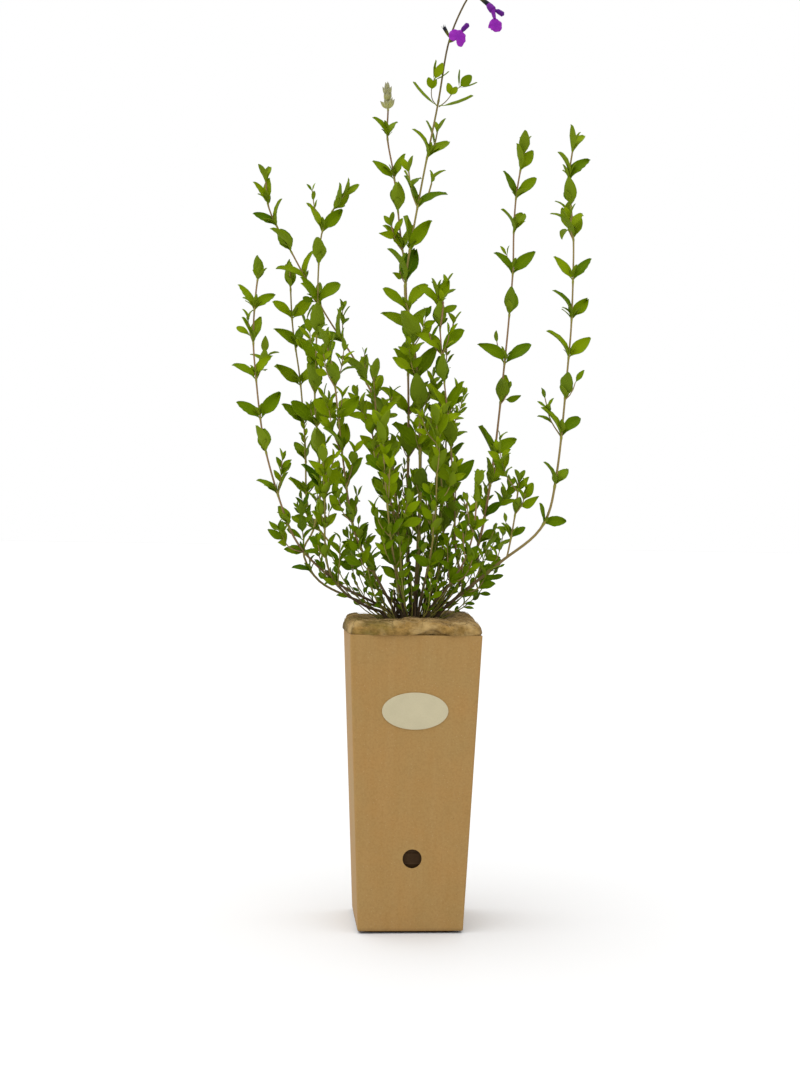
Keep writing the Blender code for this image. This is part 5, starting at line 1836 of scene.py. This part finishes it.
class SALVIA_OT_set_stage(bpy.types.Operator):
    """Sets the camera, the plain pale floor and the soft studio light."""

    bl_idname = "salvia.set_stage"
    bl_label = "Set the stage"

    def execute(self, context):
        stage = context.scene.salvia_stage
        self.set_camera(context, stage)
        floor = added(bpy.ops.mesh.primitive_plane_add, "floor", size=60)
        floor.data.materials.append(floor_finish(stage.floor_colour))
        self.add_light(Vector((-1.1, -0.5, 4.0)), stage.key)
        world = context.scene.world or bpy.data.worlds.new("surroundings")
        context.scene.world = world
        world.use_nodes = True
        background = world.node_tree.nodes["Background"]
        background.inputs["Color"].default_value = (1.0, 1.0, 1.0, 1.0)
        background.inputs["Strength"].default_value = stage.daylight
        context.scene.view_settings.view_transform = "Standard"
        return {"FINISHED"}

    def set_camera(self, context, stage):
        """Sets the camera where the photo was taken from."""
        forward = Vector((math.sin(stage.turn), math.cos(stage.turn), 0))
        right = Vector((math.cos(stage.turn), -math.sin(stage.turn), 0))
        up = Vector((0, 0, 1))
        x_way = right * math.cos(stage.roll) + up * math.sin(stage.roll)
        y_way = up * math.cos(stage.roll) - right * math.sin(stage.roll)
        camera = added(bpy.ops.object.camera_add, "camera")
        camera.matrix_world = Matrix((x_way, y_way, -forward)).transposed().to_4x4()
        camera.matrix_world.translation = forward * -stage.distance + right * stage.aside + up * stage.height
        camera.data.sensor_width = 36.0
        camera.data.lens = stage.lens
        camera.data.clip_start = 0.01
        context.scene.camera = camera

    def add_light(self, place, power):
        """A very wide, soft light from high above."""
        light = added(bpy.ops.object.light_add, "key_light", type="SUN", location=place,
                      rotation=(-place).to_track_quat("-Z", "Y").to_euler())
        light.data.angle = math.radians(80)
        light.data.energy = power


def sleeve_half(z):
    """Half the sleeve's outer width at a height, in millimetres."""
    share = (z - SLEEVE_FOOT_Z) / SLEEVE_HEIGHT
    return (SLEEVE_FOOT_WIDTH + (SLEEVE_TOP_WIDTH - SLEEVE_FOOT_WIDTH) * share) / 2


def pot_half(z):
    """Half the pot's outer width at a height, in millimetres."""
    step = 0.0 if z > POT_HEIGHT - POT_RIM_DEPTH else POT_RIM_STEP
    return sleeve_half(max(z, SLEEVE_FOOT_Z)) - SLEEVE_WALL - GAP - step


def rounded_plate(name, half, corner, z, segments):
    """A square plate with rounded corners, in metres, open in edit mode with all of it selected."""
    plate = added(bpy.ops.mesh.primitive_plane_add, name, size=2 * half * MM, location=(0, 0, z * MM))
    settle(plate)
    edit(plate)
    bpy.ops.mesh.bevel(offset=corner * MM, offset_type="OFFSET", segments=segments, affect="VERTICES")
    return plate


class SALVIA_OT_fold_sleeve(bpy.types.Operator):
    """Folds the kraft card sleeve, with its finger hole."""

    bl_idname = "salvia.fold_sleeve"
    bl_label = "Fold the sleeve"

    def execute(self, context):
        colours = context.scene.salvia_pot
        stations = [(z, sleeve_half(z)) for z in (SLEEVE_FOOT_Z, SLEEVE_TOP_Z)]
        sleeve = rounded_plate("folded_sleeve", stations[0][1], SLEEVE_CORNER, SLEEVE_FOOT_Z, 4)
        raise_face(stations, MM)
        pick("FACE", lambda face: abs(face.normal.z) > 0.9)
        bpy.ops.mesh.delete(type="FACE")
        self.cross_cut()
        self.bow()
        face_outwards()
        apply_modifier(sleeve, "SOLIDIFY", thickness=SLEEVE_WALL * MM, offset=-1.0, use_even_offset=True)
        hole = added(bpy.ops.mesh.primitive_cylinder_add, "hole", vertices=72, radius=HOLE_RADIUS * MM,
                     depth=0.03, location=(0, -sleeve_half(HOLE_Z) * MM, HOLE_Z * MM),
                     rotation=(math.radians(90), 0, 0))
        cut_out(sleeve, hole)
        sleeve.data.materials.append(card_finish(colours))
        sleeve.data.materials.append(card_edge_finish(colours))
        self.mark_edges(sleeve)
        apply_modifier(sleeve, "BEVEL", width=0.12 * MM, segments=1, limit_method="ANGLE",
                       angle_limit=math.radians(50))
        smooth_by_angle(sleeve, 40)
        finished(sleeve, "card", "sleeve")
        return {"FINISHED"}

    def cross_cut(self):
        """Cuts the walls into panels, so that they can bow."""
        cuts = [((0, 0, (SLEEVE_FOOT_Z + SLEEVE_HEIGHT * step / 8) * MM), (0, 0, 1)) for step in range(1, 8)]
        for step in (-3, -2, -1, 0, 1, 2, 3):
            for way in ((1, 0, 0), (0, 1, 0)):
                cuts.append((Vector(way) * step * SLEEVE_PANEL * MM, way))
        for place, way in cuts:
            bpy.ops.mesh.select_all(action="SELECT")
            bpy.ops.mesh.bisect(plane_co=place, plane_no=way)

    def bow(self):
        """Bows the walls outwards by a fraction of a millimetre, most at their middle."""
        shape = bmesh.from_edit_mesh(bpy.context.object.data)
        for point in shape.verts:
            z = point.co.z / MM
            half = sleeve_half(z)
            tall = math.sin(math.pi * ramp(z, SLEEVE_FOOT_Z, SLEEVE_TOP_Z))
            for axis, other in ((0, 1), (1, 0)):
                if abs(abs(point.co[axis]) / MM - half) < 0.05:
                    wide = max(0.0, 1.0 - (point.co[other] / MM / half) ** 2)
                    out = SLEEVE_BOW * MM * wide * (0.4 + 0.6 * tall)
                    point.co[axis] += math.copysign(out, point.co[axis])
        bmesh.update_edit_mesh(bpy.context.object.data)

    def mark_edges(self, sleeve):
        """Gives the cut edges of the card their own finish."""
        for face in sleeve.data.polygons:
            at_end = min(abs(face.center.z - z * MM) for z in (SLEEVE_FOOT_Z, SLEEVE_TOP_Z)) < 1e-4
            flat = abs(face.normal.z) > 0.8 and at_end
            from_hole = Vector((face.center.x, face.center.z - HOLE_Z * MM)).length
            on_rim = abs(from_hole - HOLE_RADIUS * MM) < 1e-4
            in_hole = on_rim and face.center.y < -0.03 and abs(face.normal.y) < 0.5
            face.material_index = 1 if flat or in_hole else 0


class SALVIA_OT_press_label(bpy.types.Operator):
    """Presses the bare oval label on the front of the sleeve."""

    bl_idname = "salvia.press_label"
    bl_label = "Press the label"

    def execute(self, context):
        lean = math.atan2(SLEEVE_TOP_WIDTH - SLEEVE_FOOT_WIDTH, 2 * SLEEVE_HEIGHT)
        out = Vector((0, -math.cos(lean), -math.sin(lean)))
        middle = Vector((0, -sleeve_half(LABEL_Z), LABEL_Z)) + out * (GAP + LABEL_THICKNESS / 2)
        label = added(bpy.ops.mesh.primitive_cylinder_add, "oval_label", vertices=112,
                      radius=LABEL_WIDTH / 2 * MM, depth=LABEL_THICKNESS * MM)
        edit(label)
        bpy.ops.transform.resize(value=(1, LABEL_HEIGHT / LABEL_WIDTH, 1), center_override=(0, 0, 0))
        pick("FACE", lambda face: face.normal.z > 0.9)
        bpy.ops.mesh.inset(thickness=0.5 * MM)
        bpy.ops.mesh.inset(thickness=4 * MM)
        done_editing()
        label.rotation_euler = (math.radians(90) + lean, 0, 0)
        label.location = middle * MM
        settle(label)
        apply_modifier(label, "BEVEL", width=0.15 * MM, segments=2, limit_method="ANGLE",
                       angle_limit=math.radians(40))
        label.data.materials.append(label_finish(context.scene.salvia_pot))
        smooth_by_angle(label, 35)
        finished(label, "label_paper", "label")
        return {"FINISHED"}


class SALVIA_OT_mould_pot(bpy.types.Operator):
    """Moulds the dark pot, with its rim, its rings and its drainage holes."""

    bl_idname = "salvia.mould_pot"
    bl_label = "Mould the pot"

    def execute(self, context):
        rim_foot = POT_HEIGHT - POT_RIM_DEPTH
        route = [(0.0, pot_half(0) - 1.2), (0.5, pot_half(0) - 0.4), (1.2, pot_half(1.2))]
        for middle in RIB_HEIGHTS:
            route += [(middle - RIB_HALF, pot_half(middle)), (middle, pot_half(middle) + RIB_RISE),
                      (middle + RIB_HALF, pot_half(middle))]
        route += [(rim_foot, pot_half(rim_foot)), (rim_foot + 0.6, pot_half(rim_foot + 0.01)),
                  (POT_HEIGHT - 0.4, pot_half(POT_HEIGHT)), (POT_HEIGHT, pot_half(POT_HEIGHT) - 0.35)]
        route += [(POT_HEIGHT, pot_half(POT_HEIGHT) - POT_WALL + 0.2),
                  (POT_HEIGHT - 0.4, pot_half(POT_HEIGHT) - POT_WALL),
                  (rim_foot + 2.2, pot_half(rim_foot + 0.01) - POT_WALL),
                  (rim_foot + 1.6, pot_half(rim_foot) - POT_WALL),
                  (POT_FLOOR, pot_half(POT_FLOOR) - POT_WALL)]
        pot = rounded_plate("moulded_pot", route[0][1], POT_CORNER, route[0][0], 6)
        raise_face(route, MM)
        face_outwards()
        for x, y in DRAIN_PLACES:
            cut_out(pot, added(bpy.ops.mesh.primitive_cylinder_add, "drain", vertices=32,
                               radius=DRAIN_RADIUS * MM, depth=0.02, location=(x * MM, y * MM, 0)))
        pot.data.materials.append(plastic_finish(context.scene.salvia_pot))
        smooth_by_angle(pot, 35)
        finished(pot, "pot_plastic", "pot")
        return {"FINISHED"}


class SALVIA_OT_fill_compost(bpy.types.Operator):
    """Finishes the compost, and strews crumbs of it in the opening of the fibre pad."""

    bl_idname = "salvia.fill_compost"
    bl_label = "Fill the compost"

    def execute(self, context):
        surface = compost_finish(context.scene.salvia_pot)
        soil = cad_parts["soil"]
        soil.data.materials.clear()
        soil.data.materials.append(surface)
        draw = random.Random(context.scene.salvia_leaves.seed)
        crumb = added(bpy.ops.mesh.primitive_ico_sphere_add, "crumb", subdivisions=2, radius=1)
        for vertex in crumb.data.vertices:
            vertex.co *= 1.0 + 0.35 * noise.noise(vertex.co * 1.7 + Vector((3.1, 0.2, 5.0)))
        smooth_by_angle(crumb, 60)
        crumb.data.materials.append(surface)
        crumbs = []
        for _ in range(CRUMBS):
            angle = draw.uniform(0, math.tau)
            reach = draw.uniform(0, 1) ** 0.5
            x = math.cos(angle) * reach * CROWN_HALF_X * 1.08
            y = math.sin(angle) * reach * CROWN_HALF_Y * 1.08
            size = draw.uniform(*CRUMB_SIZE) * MM
            z = SOIL_TOP + draw.uniform(0.0, 1.5 + 7.0 * (1 - reach ** 2))
            matrix = Matrix.Translation((x * MM, y * MM, z * MM))
            matrix = matrix @ Matrix.Rotation(draw.uniform(0, math.tau), 4, "Z")
            matrix = matrix @ Matrix.Rotation(draw.uniform(0, math.tau), 4, "X")
            matrix = matrix @ Matrix.Diagonal((size, size * draw.uniform(0.6, 1), size * 0.7, 1))
            crumbs.append(copied(crumb, matrix))
        heap = joined("compost_crumbs", crumbs)
        settle(heap)
        remove([crumb])
        finished(heap, "compost")
        return {"FINISHED"}


class SALVIA_OT_felt_pad(bpy.types.Operator):
    """Felts the fibre pad over the compost, with its loose strands."""

    bl_idname = "salvia.felt_pad"
    bl_label = "Felt the fibre pad"

    def execute(self, context):
        colours = context.scene.salvia_pot
        draw = random.Random(context.scene.salvia_leaves.seed + 1)
        pad = bpy.data.objects.new("fibre_pad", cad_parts["mat"].data.copy())
        context.scene.collection.objects.link(pad)
        pad.data.materials.clear()
        edit(pad)
        bpy.ops.mesh.remove_doubles(threshold=1e-6)
        done_editing()
        apply_modifier(pad, "REMESH", mode="VOXEL", voxel_size=PAD_VOXEL * MM, use_smooth_shade=True)
        self.shape(pad)
        pad.data.materials.append(fibre_finish(colours))
        smooth_by_angle(pad, 80)
        finished(pad, "fibre", "mat")
        self.strands(pad, colours, draw)
        return {"FINISHED"}

    def shape(self, pad):
        """Gives the pad its lumps, its draped edge, the slit at its front and its raised right part."""
        for vertex in pad.data.vertices:
            place = vertex.co / MM
            lumps = noise.fractal(place * 0.055, 1.0, 2.0, 3) * PAD_LUMPS
            fine = noise.fractal(place * 0.35, 1.0, 2.0, 3) * PAD_ROUGHNESS
            top = ramp(place.z, MAT_BOTTOM + 1, MAT_BOTTOM + 5)
            vertex.co += vertex.normal * (lumps + fine) * MM * top
            front = max(0.0, -place.y - 30) / 17
            slit = math.exp(-((place.x - SLIT_X) / SLIT_HALF) ** 2)
            near_edge = math.exp(-((place.z - PAD_SKIRT_Z) / 2.0) ** 2) * (place.z > SLEEVE_TOP_Z)
            skirt = near_edge * (1.0 - slit * min(1.0, front))
            for axis in (0, 1):
                beyond = max(0.0, abs(place[axis]) - 40) / 10
                spread = (PAD_SPREAD * top + PAD_SKIRT * skirt) * beyond
                spread *= PAD_LEFT_SPREAD if axis == 0 and place.x <= 0 else 1.0
                vertex.co[axis] += math.copysign(spread, place[axis]) * MM
                vertex.co.z -= PAD_DRAPE * skirt * beyond * MM
            high = ramp(place.z, 230, 234)
            left = (2.0 * ramp(place.x, -38, -47) - 1.0) * (place.x < -8)
            right = ramp(place.x, 24, 28) * ramp(place.x, 49, 45) * ramp(place.y, -15, 10)
            low = ramp(place.z, MAT_BOTTOM + 12, MAT_BOTTOM + 3)
            vertex.co.z += (left + PAD_RIGHT_RISE * right) * high * MM
            vertex.co.z += SLIT_HEIGHT * slit * min(1.0, front) * front * low * MM

    def strands(self, pad, colours, draw):
        """Lays loose fibres on the pad."""
        skin = tree_of([vertex.co for vertex in pad.data.vertices],
                       [tuple(face.vertices) for face in pad.data.polygons])
        lines = []
        places = []
        values = []
        for _ in range(STRANDS):
            spots = self.strand_route(skin, draw)
            if len(spots) < 4:
                continue
            lines.append([(spot, 1.0) for spot in spots[:-1]] + [(spots[-1], 0.4)])
            green = ramp(-spots[0].x / MM, 5, 40) * draw.uniform(0, 0.9)
            places += spots
            values += [(draw.uniform(0, 1), green, 0.0)] * len(spots)
        strands = tube_mesh("loose_fibres", lines, strand_finish(colours), radius=STRAND_RADIUS * MM)
        look_by_place(strands.data, places, values)
        smooth_by_angle(strands, 80)
        finished(strands, "fibre")

    def strand_route(self, skin, draw):
        """The places of one fibre, which wanders over the skin of the pad."""
        half = MAT_BULGE * MM
        x = draw.uniform(-half, half)
        y = draw.uniform(-half, half)
        heading = draw.uniform(0, math.tau)
        spots = []
        steps = draw.randint(6, 11)
        lift = 0.15 * MM
        for _ in range(steps):
            hit, normal, _, _ = skin.ray_cast(Vector((x, y, 0.3)), Vector((0, 0, -1)))
            if hit is None or hit.z < (MAT_BOTTOM + 2) * MM:
                break
            lift = min(1.1 * MM, max(0.05 * MM, lift + draw.uniform(-0.35, 0.35) * MM))
            spots.append(hit + normal * lift)
            heading += draw.uniform(-0.7, 0.7)
            x += math.cos(heading) * STRAND_STEP * MM
            y += math.sin(heading) * STRAND_STEP * MM
        return spots


class SALVIA_OT_grow_stems(bpy.types.Operator):
    """Grows every leafy stem with its twigs and leaves, and the young shoots and old stubs at the foot."""

    bl_idname = "salvia.grow_stems"
    bl_label = "Grow the stems"

    def execute(self, context):
        colours = context.scene.salvia_leaves
        draw = random.Random(colours.seed + 2)
        plans, kept, tubes, placed, obstacles = plan_bush()
        twigs, crowd = axil_twigs(kept, tubes, placed, obstacles, draw)
        small = axil_leaves(kept, tubes, placed, obstacles, draw)
        leaf_skin = leaf_finish(colours)
        stem_skin = stem_finish(colours)
        patterns = {name: leaf_pattern(name, colours.thickness, leaf_skin) for name in LEAF_PATTERNS}
        profile = rounded_square_profile()
        for name, stem in STEMS.items():
            samples = self.tube_samples(name, stem, plans[name][0])
            samples += [rod_samples(line, thick, (), 5.0) for line, thick in twigs[name]]
            leaves = kept[name] + crowd[name] + small[name]
            if name == "stem_flowering":
                samples += [rod_samples(smooth_path(route), TOP_SHOOT_THICK, (), 3.0) for route in TOP_SHOOTS]
                leaves = [leaf for leaf in leaves if leaf["root"].z < TOP_JOINT_Z]
                leaves += [seen_leaf(*places) for places in TOP_LEAVES]
            top = max(place.z for place, _, _, _ in samples[0])
            pieces = [rods("wood", samples, profile, stem_skin, draw.uniform(0.0, 0.7))]
            pieces += [grown_leaf(leaf, patterns, draw, top) for leaf in leaves]
            finished(joined("leafy_" + name, pieces), "leaf", name)
        lines, leaves = foot_growth(tubes, placed, obstacles, draw)
        samples = [rod_samples(line, thick, (), 5.0) for line, thick in lines]
        pieces = [rods("young_wood", samples, profile, stem_skin, 1.0)]
        pieces += [grown_leaf(leaf, patterns, draw, 560) for leaf in leaves]
        finished(joined("foot_shoots", pieces), "leaf")
        samples = [rod_samples(line, thick, (), 3.0) for line, thick in old_stubs(draw)]
        finished(rods("old_stubs", samples, profile, stem_skin, 0.5), "leaf")
        remove([*patterns.values(), profile])
        return {"FINISHED"}

    def tube_samples(self, name, stem, tubes):
        """The lines of a stem: its trunk, its branch and its side shoots, sampled finely."""
        samples = []
        for path, thick in tubes:
            matching = [part for _, part in stem_parts(name, stem) if self.ends_at(path, part["route"][-1])]
            if matching:
                fine = smooth_path(matching[0]["route"])
                fine = rooted(fine) if matching[0] is stem else fine
                samples.append(rod_samples(fine, thick, matching[0]["pairs"], 6.0))
            elif path[0].z < TOP_JOINT_Z:
                samples.append(rod_samples(smooth_path(path), thick, (), 5.0))
        return samples

    def ends_at(self, path, place):
        """Whether a path ends at a place."""
        return (path[-1] - Vector(place)).length < 0.01


class SALVIA_OT_open_flowers(bpy.types.Operator):
    """Opens the two violet flowers, and sets the calyxes."""

    bl_idname = "salvia.open_flowers"
    bl_label = "Open the flowers"

    def execute(self, context):
        colours = context.scene.salvia_flowers
        velvet = petal_finish(colours)
        for name, flower in FLOWERS.items():
            self.bloom(name, flower, velvet)
        pattern = calyx_pattern(calyx_finish(colours))
        calyxes = [set_between(pattern, *flower["calyx"], CALYX_RADIUS) for flower in FLOWERS.values()]
        calyxes.append(set_between(pattern, *SPENT_CALYX, SPENT_RADIUS))
        group = joined("flower_calyxes", calyxes)
        settle(group)
        remove([pattern])
        finished(group, "leaf")
        return {"FINISHED"}

    def bloom(self, name, flower, velvet):
        """One flower: a swelling tube, an arched hood, a neck and a lobed lip."""
        foot, mouth = (Vector(place) for place in flower["calyx"])
        throat = Vector(flower["throat"])
        start = mouth - (mouth - foot).normalized() * 0.6
        tube_end = throat + (throat - start).normalized() * 1.8
        hood_middle, hood_tip = (Vector(place) for place in flower["hood"])
        hood_end = hood_tip + (hood_tip - hood_middle).normalized() * 1.1
        lip_centre = Vector(flower["lip_centre"])
        pieces = [
            swept("tube", (start, start.lerp(throat, 0.5), throat, tube_end), TUBE_RADII, 12, velvet,
                  (0.0, flower["tube_dark"], 0.0), squash=0.9),
            swept("hood", (throat, throat.lerp(hood_middle, 0.6), hood_middle, hood_tip, hood_end),
                  HOOD_RADII, 18, velvet, (0.0, 1.0, 0.0), squash=0.85),
            swept("neck", (throat, throat.lerp(lip_centre, 0.6), lip_centre), NECK_RADII, 6, velvet,
                  (0.0, 0.6, 0.0)),
            lip_petal(flower, velvet),
        ]
        bloom = joined("open_" + name, pieces)
        settle(bloom)
        finished(bloom, "petal", name)


class SALVIA_OT_form_buds(bpy.types.Operator):
    """Forms the pale spike of buds: whorls of pointed, downy calyxes."""

    bl_idname = "salvia.form_buds"
    bl_label = "Form the buds"

    def execute(self, context):
        surface = bud_finish(context.scene.salvia_flowers)
        draw = random.Random(context.scene.salvia_leaves.seed + 3)
        bud = bud_pattern(surface)
        start, end = (Vector(place) for place in BUD_PLACES)
        way = (end - start).normalized()
        length = (end - start).length
        reference = Vector((1, 0, 0))
        reference = (reference - way * reference.dot(way)).normalized()
        other = way.cross(reference)
        copies = []
        for number, (share, count, out, lean, size, girth) in enumerate(BUD_WHORLS):
            for i in range(count):
                angle = math.tau * (i + 0.5 * (number % 2)) / count + draw.uniform(-0.15, 0.15)
                radial = reference * math.cos(angle) + other * math.sin(angle)
                tilt = math.radians(lean + draw.uniform(-5, 5))
                along = way * math.cos(tilt) + radial * math.sin(tilt)
                foot = start + way * (length * share) + radial * (out * 0.35)
                copy = set_between(bud, foot, foot + along * size * draw.uniform(0.9, 1.08), girth)
                change_look(copy.data, {1: draw.uniform(0.0, 0.8) * (0.3 + share)})
                copies.append(copy)
        places = (start - way * 1.5, start.lerp(end, 0.5), start.lerp(end, 0.8))
        axis = swept("axis", places, (0.9, 0.9, 0.5), 6, surface, (0.3, 0.4, 0.0))
        spike = joined("bud_whorls", [axis] + copies)
        settle(spike)
        remove([bud])
        finished(spike, "bud", "bud_spike")
        return {"FINISHED"}


MAKERS = (
    SALVIA_OT_set_stage,
    SALVIA_OT_fold_sleeve,
    SALVIA_OT_press_label,
    SALVIA_OT_mould_pot,
    SALVIA_OT_fill_compost,
    SALVIA_OT_felt_pad,
    SALVIA_OT_grow_stems,
    SALVIA_OT_open_flowers,
    SALVIA_OT_form_buds,
)
SETTINGS = {
    "salvia_stage": SalviaStage,
    "salvia_leaves": SalviaLeaves,
    "salvia_flowers": SalviaFlowers,
    "salvia_pot": SalviaPot,
}


class SALVIA_PT_makers(bpy.types.Panel):
    """Lists the steps that dress the salvia."""

    bl_idname = "SALVIA_PT_makers"
    bl_label = "Potted salvia"
    bl_space_type = "VIEW_3D"
    bl_region_type = "UI"
    bl_category = "Salvia"

    def draw(self, context):
        for maker in MAKERS:
            self.layout.operator(maker.bl_idname)


def register():
    """Registers the settings, the operators and the panel."""
    for name, settings in SETTINGS.items():
        bpy.utils.register_class(settings)
        setattr(bpy.types.Scene, name, bpy.props.PointerProperty(type=settings))
    for maker in MAKERS:
        bpy.utils.register_class(maker)
    bpy.utils.register_class(SALVIA_PT_makers)


def unregister():
    """Takes them out again."""
    bpy.utils.unregister_class(SALVIA_PT_makers)
    for maker in reversed(MAKERS):
        bpy.utils.unregister_class(maker)
    for name, settings in SETTINGS.items():
        delattr(bpy.types.Scene, name)
        bpy.utils.unregister_class(settings)


def main():
    """Dresses the whole salvia, one step after another."""
    register()
    bpy.ops.salvia.set_stage()
    bpy.ops.salvia.fold_sleeve()
    bpy.ops.salvia.press_label()
    bpy.ops.salvia.mould_pot()
    bpy.ops.salvia.fill_compost()
    bpy.ops.salvia.felt_pad()
    bpy.ops.salvia.grow_stems()
    bpy.ops.salvia.open_flowers()
    bpy.ops.salvia.form_buds()


if __name__ == "__main__":
    main()
